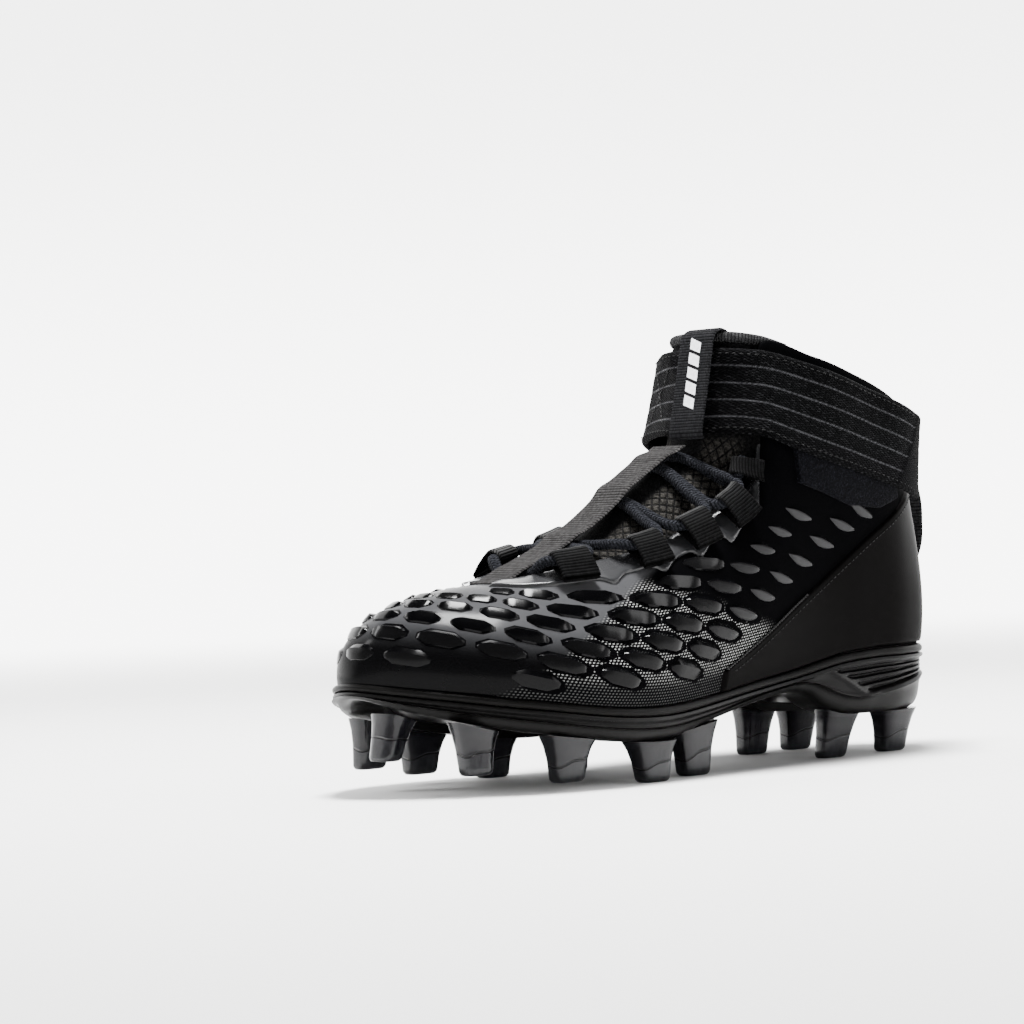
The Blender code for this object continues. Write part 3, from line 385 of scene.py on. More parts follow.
def v_at_height(share, z):
    """The v at which the upper's face reaches height z, for each share."""
    share, z = np.broadcast_arrays(np.asarray(share, float), np.asarray(z, float))
    grid = np.linspace(0, 1, 201)
    found = np.empty(share.shape)
    for i in np.ndindex(share.shape):
        rise = np.maximum.accumulate(upper_point(share[i], grid)[:, 2])
        found[i] = np.interp(z[i], rise, grid)
    return found


def stations(count):
    """Shares round the footprint, paired at equal u across the shoe, closer together at the heel and toe."""
    k = np.linspace(0, 1, count + 1)
    outer = 0.5 * (k - 0.055 * np.sin(2 * np.pi * k))
    inner = share_at(outline(outer[1:-1])[:, 1], False)[::-1]
    return np.concatenate([outer, inner])


def throat_table(outer_side):
    """One edge of the throat: shares of its length from the vamp up, shares of the foot, its length."""
    start = 0.5 + (-0.006 if outer_side else 0.006)
    grid = np.linspace(start, float(share_at(THROAT_END, outer_side)), 300)
    line = upper_point(grid, 1.0)
    run = run_of(line)
    return run / run[-1], grid, run[-1]


SIDES = {True: "outer", False: "inner"}
THROAT = {side: throat_table(side) for side in SIDES}


def throat_share(place, outer_side):
    """The foot's share at a place along one edge of the throat."""
    along, grid, _ = THROAT[outer_side]
    return np.interp(place, along, grid)


def surface_net():
    """Closely spaced points and normals of the upper's face above its lower third."""
    share, v = np.meshgrid(np.linspace(0, 1, 480, endpoint=False), np.linspace(0.35, 1, 90), indexing="ij")
    return upper_point(share, v).reshape(-1, 3), upper_normal(share, v).reshape(-1, 3)


NET, NET_NORMALS = surface_net()


def snapped(point, out):
    """The point moved onto the upper's face, then out from it, and the face's normal there."""
    near = np.argmin(((NET - point) ** 2).sum(axis=1))
    normal = NET_NORMALS[near]
    return point - normal * np.dot(point - NET[near], normal) + normal * out, normal


def throat_point(place, outer_side):
    """A point of the throat's edge."""
    return upper_point(throat_share(place, outer_side), 1.0)


def throat_frame(place, outer_side):
    """A point of the throat's edge, the direction along it, down the shoe's side, and out."""
    edge = throat_point(place, outer_side)
    along = unit(throat_point(place + 0.02, outer_side) - throat_point(place - 0.02, outer_side))
    _, out = snapped(edge, 0.0)
    down = np.cross(out, along)
    if down[0] * edge[0] < 0:
        down = -down
    return edge, along, unit(down), out


def tongue_section(place, u, z):
    """Nine points of the tongue's outer face from the outer to the inner side, at one place of the throat."""
    centre = np.array([0.0, u, z])
    halves = []
    for side in SIDES:
        bend = float(np.clip((place - 0.5) / 0.1, 0, 1))
        wall = WALL + (COLLAR_WALL - WALL) * bend
        lip, _, down, out = throat_frame(place, side)
        stand = float(np.clip((place - 0.7) / 0.08, 0, 1))
        edge = snapped(lip + down * 1.5, -(wall + 1.2 + 0.7 * bend))[0]
        hidden = snapped(lip + down * (8.0 - 3.5 * stand), -(wall + 1.8 + 1.2 * bend))[0]
        inwards = np.array([1.5 if side else -1.5, 1.5, 0.0]) * stand
        edge = edge - inwards
        hidden = hidden - inwards
        under_lip = lip - down * 2.5 - out * (wall + 1.3)
        reach = edge - centre
        level = np.array([reach[0], 0.0, 0.0])
        lift = level - reach
        quarter = centre + 0.5 * reach + 0.22 * lift
        far = (centre + 0.8 * reach + 0.1 * lift) * (1 - bend) + under_lip * bend
        halves.append([quarter, far, edge, hidden])
    return np.array(halves[0][::-1] + [centre] + halves[1])


def mirrored(half):
    """A whole section from its half, the outer side first, given from the middle outwards."""
    half = np.array(half, float)
    fine = smooth(np.column_stack([[0, 1, 2.4, 4], half]), [4, 3.2, 2.4, 1.2, 0])
    other = fine[:-1][::-1] * [-1, 1, 1]
    return np.concatenate([fine, other])


def tongue_sections():
    """All sections of the tongue's outer face, from its top down to its hidden end under the vamp."""
    rows = [mirrored(half) for half in TONGUE_TOP]
    rows += [tongue_section(*row) for row in reversed(TONGUE_LINE)]
    rows.append(mirrored(TONGUE_TOE))
    return np.array(rows)


def along_sections(rows, per_span, columns):
    """A finer grid through sections, smooth both along and across."""
    key = np.arange(len(rows), dtype=float)
    fine = np.linspace(0, len(rows) - 1, (len(rows) - 1) * per_span + 1)
    flat = smooth(np.column_stack([key, rows.reshape(len(rows), -1)]), fine).reshape(len(fine), -1, 3)
    across = np.arange(flat.shape[1], dtype=float)
    at = np.linspace(0, flat.shape[1] - 1, columns)
    return np.array([smooth(np.column_stack([across, row]), at) for row in flat])


def grid_normals(grid):
    """Unit normals of a grid of points."""
    one = np.gradient(grid, axis=0)
    two = np.gradient(grid, axis=1)
    normal = np.cross(one, two)
    return unit(normal)


def tongue_face(per_span, columns):
    """The tongue's outer face and its outward normals."""
    face = along_sections(tongue_sections(), per_span, columns)
    normal = grid_normals(face)
    middle = normal[len(normal) // 2, columns // 2]
    if middle[2] < 0:
        normal = -normal
    return face, normal


def resample(path, count):
    """A smooth path through points, at even steps."""
    path = np.array(path, float)
    run = run_of(path)
    return smooth(np.column_stack([run, path]), np.linspace(0, run[-1], count))


def fold_room(place):
    """How much wider than the lace a loop's fold is, more where the throat's edge bends at the ankle."""
    return 0.6 + 0.5 * float(np.clip((place - 0.6) / 0.06, 0, 1))


def loop_frame(place, outer_side):
    """Where a webbing loop holds the lace: hole centre, direction along the edge, down the side, and out."""
    edge, along, down, _ = throat_frame(place, outer_side)
    seat, out = snapped(edge + down * LOOP_DROP, 0.0)
    centre = seat + out * (LOOP_OFF + WEBBING + LACE_RADIUS + fold_room(place))
    down = unit(down - out * np.dot(down, out))
    return centre, along, down, out


def half_share(level, outer_side):
    """Half a loop's width as a share of the throat's edge."""
    return 0.5 * LOOP_WIDTHS[level] / THROAT[outer_side][2]


def strip_z(u):
    """The centre webbing's height on the middle line."""
    rows = sorted(STRIP_LINE)
    return float(smooth(rows, u)[0])


def under_strip(u):
    """A point of the lace's middle line where it passes under the centre webbing."""
    slope = (strip_z(u + 1) - strip_z(u - 1)) / 2
    out = np.array([0, -slope, 1.0]) / np.hypot(slope, 1)
    return np.array([0, u, strip_z(u)]) - out * (STRIP_THICK + GAP + LACE_RADIUS + 0.4)


def crossing(lower, upper):
    """Where the lace crosses itself under the centre webbing, between two levels of loops."""
    share = 0.5 if upper < len(LOOP_PLACES) - 1 else 0.15
    place = LOOP_PLACES[lower] * (1 - share) + LOOP_PLACES[upper] * share
    rows = np.array(TONGUE_LINE)
    return under_strip(float(np.interp(place, rows[:, 0], rows[:, 1])))


def through_loop(level, side, upwards):
    """Lace points through one loop: a point before it, two in the fold, and one beyond it."""
    half = half_share(level, side)
    place = LOOP_PLACES[level]
    lead = 2.8 if level < len(LOOP_PLACES) - 1 else 3.6
    low = loop_frame(place - half, side)
    high = loop_frame(place + half, side)
    before = low[0] - low[1] * lead - low[2] * 2.2
    beyond = high[0] + high[1] * lead - high[2] * 2.2
    points = [before, low[0], high[0], beyond]
    return points if upwards else points[::-1]


def lace_path(starts_outer):
    """One end of the lace: from a top loop, crossing at each level, down to the lowest loop."""
    path = []
    side = starts_outer
    for level in range(len(LOOP_PLACES) - 1, -1, -1):
        points = through_loop(level, side, False)
        if path:
            path.append(path[-1] + 0.75 * (points[0] - path[-1]))
        path += points if path else points[1:]
        if level > 0:
            path.append(crossing(level - 1, level))
            path.insert(-1, path[-2] + 0.25 * (path[-1] - path[-2]))
            side = not side
    return path, side


def fine_path(points, longest=8.5):
    """A smooth path that keeps every given point and adds more only where two are far apart."""
    points = np.array(points, float)
    step = np.linalg.norm(np.diff(points, axis=0), axis=1)
    run = np.concatenate([[0], np.cumsum(step)])
    at = [0.0]
    for i, length in enumerate(step):
        parts = 1 if length < 1.1 * max(LOOP_WIDTHS) else int(np.ceil(length / longest))
        at += list(np.linspace(run[i], run[i + 1], parts + 1)[1:])
    return smooth(np.column_stack([run, points]), np.array(at))


def lifted(path, need):
    """The path moved out wherever it comes nearer than need to the tongue, away from the loops."""
    face, normal = tongue_face(4, 41)
    face = face.reshape(-1, 3)
    normal = normal.reshape(-1, 3)
    holes = [loop_frame(place, side)[0] for place in LOOP_PLACES for side in SIDES]
    reach = 0.5 * np.repeat(LOOP_WIDTHS, 2) + 1.0
    moved = path.copy()
    for i, point in enumerate(path):
        if (np.linalg.norm(point - np.array(holes), axis=1) < reach).any():
            continue
        near = np.argmin(((face - point) ** 2).sum(axis=1))
        off = np.dot(point - face[near], normal[near])
        if off < need:
            moved[i] = point + normal[near] * (need - off)
    return moved


def hull_lines(points):
    """A convex hull as outward directions and how far the hull reaches along each."""
    angles = np.radians(np.arange(0, 360, 2.0))
    directions = np.column_stack([np.cos(angles), np.sin(angles)])
    return directions, (points @ directions.T).max(axis=0)


def ankle_points(level):
    """Points of the upper and tongue on the strap's slanting level, 0 at its lower edge, 1 at the upper."""
    s, v = np.meshgrid(np.linspace(0, 1, 161), np.linspace(0.4, 1, 60), indexing="ij")
    upper = upper_point(s, v)
    tongue, _ = tongue_face(3, 15)
    found = []
    for grid in (upper, tongue):
        edges = smooth(STRAP_EDGES, grid[..., 1])
        above = grid[..., 2] - edges[..., 0] - (edges[..., 1] - edges[..., 0]) * level
        for axis in (0, 1):
            a = above.take(range(above.shape[axis] - 1), axis)
            b = above.take(range(1, above.shape[axis]), axis)
            p = grid.take(range(above.shape[axis] - 1), axis)
            q = grid.take(range(1, above.shape[axis]), axis)
            cross = (a < 0) != (b < 0)
            k = (a[cross] / (a[cross] - b[cross]))[:, None]
            found.append((p[cross] + (q[cross] - p[cross]) * k)[:, :2])
    return np.concatenate(found)


def strap_face(thickness, count, levels):
    """A face of the ankle strap, from its sewn start round the ankle to its free end, which stands off."""
    turn = np.linspace(0, 1, count)
    angles = np.radians(STRAP_START + (STRAP_END - STRAP_START) * turn)
    free = np.clip((turn - 0.78) / 0.22, 0, 1)
    free = free * free * (3 - 2 * free)
    heading = np.column_stack([np.cos(angles), np.sin(angles)])
    face = np.empty((count, levels, 3))
    for j, level in enumerate(np.linspace(0, 1, levels)):
        points = ankle_points(level) - [0, STRAP_CENTRE]
        directions, reach = hull_lines(points)
        facing = heading @ directions.T
        off = STRAP_INSIDE + thickness + free * (1.2 + 5.2 * level)
        slabs = (reach[None, :] + off[:, None]) / np.maximum(facing, 0.05)
        distance = np.where(facing > 0.05, slabs, np.inf).min(axis=1)
        place = heading * distance[:, None] + [0, STRAP_CENTRE]
        edges = smooth(STRAP_EDGES, place[:, 1])
        z = edges[:, 0] + (edges[:, 1] - edges[:, 0]) * level
        face[:, j] = np.column_stack([place, z])
    return face


# The front pull tab: x, u, z from inside the collar, over the top and down over the strap.
FRONT_TAB = [
    (5, 107.4, 168),
    (5, 108.8, 175),
    (5, 110.6, 179.6),
    (5.2, 114.8, 181.6),
    (5.6, 118.8, 179.6),
    (6, 120.6, 175),
    (6.5, 123.2, 165),
    (7, 126.6, 152),
    (7.4, 129.6, 141),
    (7.4, 129.9, 138.4),
    (7.4, 129.0, 136.9),
]
TAB_WIDTH = 20.0
# The heel pull loop's free part on the middle line, from its upper to its lower sewn end: u, z.
HEEL_TAB = [(-4, 120), (-9.5, 115.5), (-12.2, 108), (-12.6, 98), (-11.6, 89), (-8.5, 83)]
HEEL_TAB_TOP = (129, 123.5)
HEEL_TAB_FOOT = (78, 71.5)
HEEL_TAB_WIDTH = 13.0


# The frame's origin in table units: x, u.
ORIGIN = (1.753, 142.897)
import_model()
ROOT = "root"


def world(points):
    """Table units to metres in the row frame."""
    p = np.asarray(points, float)
    return np.stack([p[..., 0] - ORIGIN[0], ORIGIN[1] - p[..., 1], p[..., 2]], axis=-1) * 0.001


# Shader building.
class Shader:
    """A material with its Principled shader, and short ways to add and join nodes."""

    def __init__(self, name, colour, rough, **sockets):
        self.mat = bpy.data.materials.new(name)
        self.mat.use_nodes = True
        self.tree = self.mat.node_tree
        self.bsdf = self.tree.nodes["Principled BSDF"]
        self.bsdf.inputs["Base Color"].default_value = (*colour, 1)
        self.bsdf.inputs["Roughness"].default_value = rough
        self.set(**sockets)
        self.mat.diffuse_color = (*colour, 1)

    def set(self, **sockets):
        for name, value in sockets.items():
            self.bsdf.inputs[name.replace("_", " ")].default_value = value

    def node(self, kind, **props):
        node = self.tree.nodes.new(kind)
        for name, value in props.items():
            setattr(node, name, value)
        return node

    def join(self, source, target):
        self.tree.links.new(source, target)

    def feed(self, socket, value):
        if hasattr(value, "is_output"):
            self.join(value, socket)
        else:
            socket.default_value = value

    def math(self, operation, a, b=0.0):
        node = self.node("ShaderNodeMath", operation=operation)
        self.feed(node.inputs[0], a)
        self.feed(node.inputs[1], b)
        return node.outputs[0]

    def times(self, a, b):
        return self.math("MULTIPLY", a, b)

    def plus(self, a, b):
        return self.math("ADD", a, b)

    def minus(self, a, b):
        return self.math("SUBTRACT", a, b)

    def over(self, a, b):
        return self.math("DIVIDE", a, b)

    def absolute(self, a):
        return self.math("ABSOLUTE", a)

    def sine(self, a):
        return self.math("SINE", a)

    def ramp(self, value, low, high, to_low=0.0, to_high=1.0):
        node = self.node("ShaderNodeMapRange", interpolation_type="SMOOTHSTEP")
        self.feed(node.inputs["Value"], value)
        for name, number in zip(("From Min", "From Max", "To Min", "To Max"), (low, high, to_low, to_high)):
            node.inputs[name].default_value = number
        return node.outputs[0]

    def blend(self, factor, a, b):
        node = self.node("ShaderNodeMix", data_type="RGBA")
        self.feed(node.inputs["Factor"], factor)
        for socket, value in ((node.inputs["A"], a), (node.inputs["B"], b)):
            self.feed(socket, value if hasattr(value, "is_output") else (*value, 1))
        return node.outputs["Result"]

    def uv(self):
        return self.node("ShaderNodeUVMap", uv_map="UVMap").outputs[0]

    def attribute(self, name):
        return self.node("ShaderNodeAttribute", attribute_name=name).outputs["Fac"]

    def place(self):
        return self.node("ShaderNodeTexCoord").outputs["Object"]

    def noise(self, scale, detail=3.0, vector=None):
        node = self.node("ShaderNodeTexNoise")
        node.inputs["Scale"].default_value = scale
        node.inputs["Detail"].default_value = detail
        self.join(vector if vector is not None else self.place(), node.inputs["Vector"])
        return node.outputs["Fac"]

    def use(self, group, vector=None, **numbers):
        node = self.node("ShaderNodeGroup", node_tree=group)
        if vector is not None:
            self.join(vector, node.inputs["Vector"])
        for name, value in numbers.items():
            self.feed(node.inputs[name.replace("_", " ")], value)
        return node.outputs

    def bump(self, height, distance, strength=1.0, under=None):
        node = self.node("ShaderNodeBump")
        node.inputs["Distance"].default_value = distance * 0.001
        node.inputs["Strength"].default_value = strength
        self.join(height, node.inputs["Height"])
        if under is not None:
            self.join(under, node.inputs["Normal"])
        self.join(node.outputs[0], self.bsdf.inputs["Normal"])
        return node.outputs[0]

    def colour(self, value):
        self.join(value, self.bsdf.inputs["Base Color"])

    def rough(self, value):
        self.join(value, self.bsdf.inputs["Roughness"])


class Group(Shader):
    """A node group with named inputs, which gives only values."""

    def __init__(self, name, inputs, outputs):
        self.tree = bpy.data.node_groups.new(name, "ShaderNodeTree")
        self.tree.interface.new_socket("Vector", in_out="INPUT", socket_type="NodeSocketVector")
        for label, value in inputs.items():
            socket = self.tree.interface.new_socket(label, in_out="INPUT", socket_type="NodeSocketFloat")
            socket.default_value = value
        for label in outputs:
            self.tree.interface.new_socket(label, in_out="OUTPUT", socket_type="NodeSocketFloat")
        self.source = self.node("NodeGroupInput").outputs
        self.target = self.node("NodeGroupOutput").inputs
        split = self.node("ShaderNodeSeparateXYZ")
        self.join(self.source["Vector"], split.inputs[0])
        self.x, self.y = split.outputs[0], split.outputs[1]

    def give(self, name, value):
        self.join(value, self.target[name])


def weave_group():
    """Plain weave: threads over and under, with a slow change from thread to thread."""
    g = Group("Weave", {"Along": 1.0, "Across": 1.0}, ("Height", "Fleck"))
    a = g.over(g.x, g.source["Along"])
    b = g.over(g.y, g.source["Across"])
    crosswise = g.sine(g.times(b, np.pi))
    wave = g.times(g.sine(g.times(a, np.pi)), crosswise)
    thread = g.absolute(crosswise)
    g.give("Height", g.plus(g.times(wave, 0.5), g.times(thread, 0.5)))
    cell = g.node("ShaderNodeCombineXYZ")
    g.join(g.math("FLOOR", a), cell.inputs[0])
    g.join(g.math("FLOOR", b), cell.inputs[1])
    fleck = g.node("ShaderNodeTexWhiteNoise", noise_dimensions="2D")
    g.join(cell.outputs[0], fleck.inputs["Vector"])
    g.give("Fleck", fleck.outputs["Value"])
    return g.tree


def dots_group():
    """Staggered rows of small slanting dots, as the open threads of a mesh."""
    g = Group("Mesh dots", {"Pitch": 1.1, "Row": 1.0, "Slant": 0.4}, ("Dot", "Height"))
    row = g.over(g.y, g.source["Row"])
    shift = g.times(g.math("FLOOR", row), 0.5)
    fy = g.minus(g.math("FRACT", row), 0.5)
    lean = g.times(fy, g.source["Slant"])
    fx = g.plus(g.plus(g.over(g.x, g.source["Pitch"]), shift), lean)
    fx = g.minus(g.math("FRACT", fx), 0.5)
    d = g.math("SQRT", g.plus(g.math("POWER", fx, 2.0), g.math("POWER", fy, 2.0)))
    g.give("Dot", g.ramp(d, 0.22, 0.36, 1.0, 0.0))
    g.give("Height", g.ramp(d, 0.0, 0.5, 1.0, 0.0))
    return g.tree


def lattice_group():
    """The raised cells' lattice from the place along the toe's edge and up from the sole: 1 inside a cell."""
    g = Group("Cell lattice", {"Pitch": CELL_PITCH, "Row": CELL_ROW, "Margin": 1.0}, ("Slot",))
    x = g.minus(g.x, 0.5 * PERIMETER)
    sink = g.times(g.times(x, x), ROW_SINK)
    t = g.over(g.plus(g.minus(g.y, CELL_FOOT), sink), g.source["Row"])
    row = g.math("FLOOR", g.plus(t, 0.5))
    odd = g.times(g.math("FLOORED_MODULO", row, 2.0), 0.5)
    across = g.minus(g.over(x, g.source["Pitch"]), odd)
    column = g.math("FLOOR", g.plus(across, 0.5))
    dx = g.absolute(g.times(g.minus(across, column), CELL_PITCH / CELL_LONG))
    dy = g.absolute(g.times(g.minus(t, row), CELL_ROW / CELL_WIDE))
    slant = g.over(g.plus(dy, g.times(dx, 1.4)), 1.7)
    d = g.math("MAXIMUM", g.math("MAXIMUM", dy, dx), slant)
    d = g.over(d, g.source["Margin"])
    g.give("Slot", g.ramp(d, 0.97, 1.0, 1.0, 0.0))
    return g.tree


def ribs_group():
    """Rounded cords side by side along x, each with a fine twist."""
    g = Group("Ribs", {"Pitch": 1.0, "Twist": 0.5}, ("Height", "Thread"))
    t = g.over(g.x, g.source["Pitch"])
    g.give("Height", g.absolute(g.sine(g.times(t, np.pi))))
    turn = g.plus(g.times(g.y, 2.0 * np.pi), g.times(t, 2.0 * np.pi))
    turn = g.over(turn, g.source["Twist"])
    g.give("Thread", g.plus(g.times(g.sine(turn), 0.5), 0.5))
    return g.tree


def braid_group():
    """Herringbone of a braided cord: two sets of slanting ribs that meet on middle lines."""
    g = Group("Braid", {"Pitch": 1.2, "Width": 3.0}, ("Height", "Groove"))
    w = g.over(g.y, g.source["Width"])
    fold = g.absolute(g.minus(g.math("FRACT", w), 0.5))
    run = g.plus(g.over(g.x, g.source["Pitch"]), g.times(fold, 1.6))
    rib = g.absolute(g.sine(g.times(run, np.pi)))
    g.give("Height", rib)
    g.give("Groove", g.ramp(rib, 0.0, 0.35, 1.0, 0.0))
    return g.tree


def honeycomb_group():
    """Diamond cells of a knit between slanting rows, with rounded walls."""
    g = Group("Honeycomb knit", {"Size": 4.0}, ("Wall", "Height"))
    a = g.over(g.x, g.source["Size"])
    b = g.over(g.y, g.times(g.source["Size"], 1.15))
    one = g.absolute(g.sine(g.times(g.plus(a, b), np.pi)))
    two = g.absolute(g.sine(g.times(g.minus(a, b), np.pi)))
    near = g.math("MINIMUM", one, two)
    g.give("Wall", g.ramp(near, 0.12, 0.4, 1.0, 0.0))
    g.give("Height", g.ramp(near, 0.1, 0.9, 1.0, 0.0))
    return g.tree


PERIMETER = float(np.linalg.norm(np.diff(FOOTPRINT[:, 1:3], axis=0), axis=1).sum())
CELL_PITCH = 25.5
CELL_ROW = 9.5
CELL_LONG = 10.7
CELL_WIDE = 3.95
CELL_HIGH = 2.5
CELL_FOOT = 13.0
ROW_SINK = 0.0008
WEAVE = weave_group()
DOTS = dots_group()
LATTICE = lattice_group()
RIBS_GROUP = ribs_group()
BRAID = braid_group()
HONEYCOMB = honeycomb_group()


def film_material():
    """The upper's skin: glossy film at the toe, dotted mesh on the sides, matte base behind, by masks; the
    film's web between the cells is painted paler towards the top, a painted reflection.
    """
    s = Shader("upper_film", (0.004, 0.004, 0.0045), 0.35, Specular_IOR_Level=0.004,
               Coat_Roughness=0.16)
    dots = s.use(DOTS, s.uv(), Pitch=1.75, Row=1.2, Slant=0.35)
    film = s.attribute("film")
    cells = s.use(LATTICE, s.uv(), Margin=s.ramp(film, 0, 1, 1.19, 1.03))
    slot = s.times(cells["Slot"], s.attribute("slots"))
    web = s.minus(1.0, slot)
    mesh = s.attribute("mesh")
    broad = s.noise(60, 4)
    fine = s.noise(900, 2)
    dot = s.times(s.times(dots["Dot"], mesh), web)
    # Painted reflection: the top mask colours the film's web paler towards the top of the toe, standing in
    # for the sheen of the bright light above.
    film_web_sheen = s.times(s.times(film, web), s.attribute("top"))
    base = s.blend(film_web_sheen, (0.0008, 0.0008, 0.0010), (0.04, 0.0403, 0.0425))
    lit = s.blend(broad, (0.17, 0.173, 0.17), (0.31, 0.313, 0.305))
    s.colour(s.blend(dot, base, lit))
    rough = s.plus(s.times(broad, 0.14), s.ramp(film, 0, 1, 0.62, 0.2))
    s.rough(s.plus(rough, s.times(dot, 0.1)))
    s.join(s.times(film, 0.07), s.bsdf.inputs["Coat Weight"])
    first = s.bump(fine, 0.05, 0.5)
    second = s.bump(s.times(dots["Height"], mesh), 0.35, 1.0, under=first)
    s.bump(film_web_sheen, 0.5, 1.0, under=second)
    return s.mat


def cell_material():
    """Raised cells: gloss black; towards the heel the lower facet is pale, partly its own grey and partly a
    painted reflection of the floor.
    """
    s = Shader("upper_cells", (0.0015, 0.0015, 0.0018), 0.15, Specular_IOR_Level=0.07)
    low = s.attribute("facet_grey_and_reflection")
    grain = s.noise(400, 3)
    # The lower facets' pale colour: partly their own grey, partly a painted reflection of the floor.
    pale = s.blend(grain, (0.014, 0.014, 0.0147), (0.023, 0.023, 0.0238))
    s.colour(s.blend(low, (0.0008, 0.0008, 0.001), pale))
    s.rough(s.plus(s.ramp(low, 0, 1, 0.13, 0.4), s.times(grain, 0.08)))
    s.bump(s.noise(1200, 2), 0.02, 0.5)
    return s.mat


def satin_material(name, colour, rough, grain=0.04, coat=0.0, level=0.1):
    """A smooth satin skin with a faint pebble and slow changes of gloss."""
    s = Shader(name, colour, rough, Specular_IOR_Level=level)
    broad = s.noise(35, 4)
    fine = s.noise(1400, 2)
    darker = tuple(0.7 * c for c in colour)
    s.colour(s.blend(broad, darker, colour))
    s.rough(s.plus(s.times(broad, 0.16), rough - 0.08))
    s.bump(fine, grain, 0.8)
    if coat:
        s.set(Coat_Weight=coat, Coat_Roughness=0.12)
    return s.mat


def web_material(name, colour, pitch, lift=0.25, across=0.5, fold_highlight=None):
    """Webbing: twisted ribs that cross the tape, with pale flecks, painted shade in the grooves between the
    ribs, and a painted highlight where it is folded.
    """
    s = Shader(name, colour, 0.75, Specular_IOR_Level=0.01, Sheen_Weight=0.004, Sheen_Roughness=0.4)
    ribs = s.use(RIBS_GROUP, s.uv(), Pitch=pitch, Twist=across)
    weave = s.use(WEAVE, s.uv(), Along=pitch, Across=across)
    pale = tuple(3.2 * c + 0.002 for c in colour)
    groove_shade = tuple(0.12 * c for c in colour)
    tone = s.blend(s.times(weave["Fleck"], 0.55), colour, pale)
    # Painted highlight: the fold mask makes the tape paler along the upper outer face of each fold.
    if fold_highlight:
        tone = s.blend(s.attribute("fold"), tone, fold_highlight)
    # Painted shade: the tape is coloured much darker in the grooves between its ribs.
    s.colour(s.blend(s.ramp(ribs["Height"], 0.0, 0.55, 1.0, 0.0), tone, groove_shade))
    first = s.bump(ribs["Height"], lift, 1.0)
    s.bump(ribs["Thread"], 0.06, 0.7, under=first)
    return s.mat


def elastic_material():
    """Woven elastic: fine heathered rows in five bands split by thin shiny lines, and a dark end tape."""
    s = Shader("strap_elastic", (0.006, 0.006, 0.007), 0.7, Specular_IOR_Level=0.01, Sheen_Weight=0.004)
    weave = s.use(WEAVE, s.uv(), Along=1.5, Across=0.6)
    line = s.attribute("line")
    tape = s.attribute("tape")
    heather = s.noise(1.6, 2, vector=s.uv())
    speck = s.math("POWER", weave["Fleck"], 3.0)
    tone = s.blend(speck, (0.0014, 0.0014, 0.0016), (0.0125, 0.0125, 0.0135))
    # Painted shade: darker in the hollows between the threads of the weave.
    tone = s.blend(s.ramp(weave["Height"], 0.15, 0.6, 1.0, 0.0), tone, (0.0006, 0.0006, 0.0007))
    tone = s.blend(s.ramp(heather, 0.5, 0.75, 0.0, 0.25), tone, (0.012, 0.012, 0.013))
    tone = s.blend(tape, tone, (0.0015, 0.0015, 0.0017))
    s.colour(s.blend(line, tone, (0.035, 0.035, 0.038)))
    s.rough(s.ramp(line, 0, 1, 0.72, 0.3))
    s.bump(weave["Height"], 0.3, 1.0)
    return s.mat


def lace_material():
    """Braided cord with a herringbone, with painted shade in its grooves."""
    s = Shader("lace_cord", (0.008, 0.0085, 0.011), 0.7, Specular_IOR_Level=0.01, Sheen_Weight=0.004)
    braid = s.use(BRAID, s.uv(), Pitch=1.35, Width=4.6)
    fleck = s.noise(1.1, 2, vector=s.uv())
    tone = s.blend(s.ramp(fleck, 0.35, 0.7), (0.006, 0.0064, 0.008), (0.021, 0.022, 0.026))
    # Painted shade: the cord is coloured near black in the grooves of the braid.
    s.colour(s.blend(braid["Groove"], tone, (0.001, 0.001, 0.0015)))
    s.bump(braid["Height"], 0.5, 1.0)
    return s.mat


def tongue_material():
    """Knit with raised honeycomb cells, paler where they stand up, plain and fine towards the top."""
    s = Shader("tongue_knit", (0.006, 0.006, 0.006), 0.8, Specular_IOR_Level=0.01, Sheen_Weight=0.004)
    comb = s.use(HONEYCOMB, s.uv(), Size=4.6)
    knit = s.use(WEAVE, s.uv(), Along=0.8, Across=0.55)
    cell = s.times(s.minus(1.0, comb["Wall"]), s.attribute("comb"))
    fine = s.blend(s.times(knit["Fleck"], 0.5), (0.0014, 0.0014, 0.0015), (0.012, 0.012, 0.0125))
    raised = s.blend(knit["Fleck"], (0.009, 0.0085, 0.0078), (0.034, 0.032, 0.029))
    s.colour(s.blend(cell, fine, raised))
    first = s.bump(knit["Height"], 0.15, 0.8)
    s.bump(s.times(cell, s.ramp(comb["Height"], 0, 1, 1, 0)), 0.7, 1.0, under=first)
    return s.mat


def lining_material():
    """Brushed mesh lining."""
    s = Shader("lining", (0.006, 0.006, 0.0065), 0.85, Specular_IOR_Level=0.01, Sheen_Weight=0.004)
    dots = s.use(DOTS, s.uv(), Pitch=2.0, Row=1.7, Slant=0.0)
    s.colour(s.blend(dots["Dot"], (0.009, 0.009, 0.0098), (0.002, 0.002, 0.0022)))
    s.bump(dots["Height"], 0.3, 1.0)
    return s.mat


def pile_material():
    """Loops of a hook-and-loop fastening."""
    s = Shader("loop_pile", (0.005, 0.005, 0.006), 0.9, Specular_IOR_Level=0.01, Sheen_Weight=0.015)
    fuzz = s.noise(1500, 4)
    curl = s.noise(420, 3)
    s.colour(s.blend(s.ramp(fuzz, 0.45, 0.75), (0.0009, 0.0009, 0.0013), (0.0075, 0.0078, 0.0105)))
    first = s.bump(curl, 0.6, 0.8)
    s.bump(fuzz, 0.35, 1.0, under=first)
    return s.mat


def plate_material():
    """Glossy moulded plate with fine flow marks."""
    s = Shader("plate_plastic", (0.002, 0.002, 0.002), 0.34, Specular_IOR_Level=0.06)
    broad = s.noise(40, 4)
    fine = s.noise(700, 3)
    s.colour(s.blend(broad, (0.0014, 0.0014, 0.0015), (0.0042, 0.0039, 0.0038)))
    s.rough(s.plus(s.times(broad, 0.18), 0.3))
    s.bump(fine, 0.03, 0.6)
    return s.mat


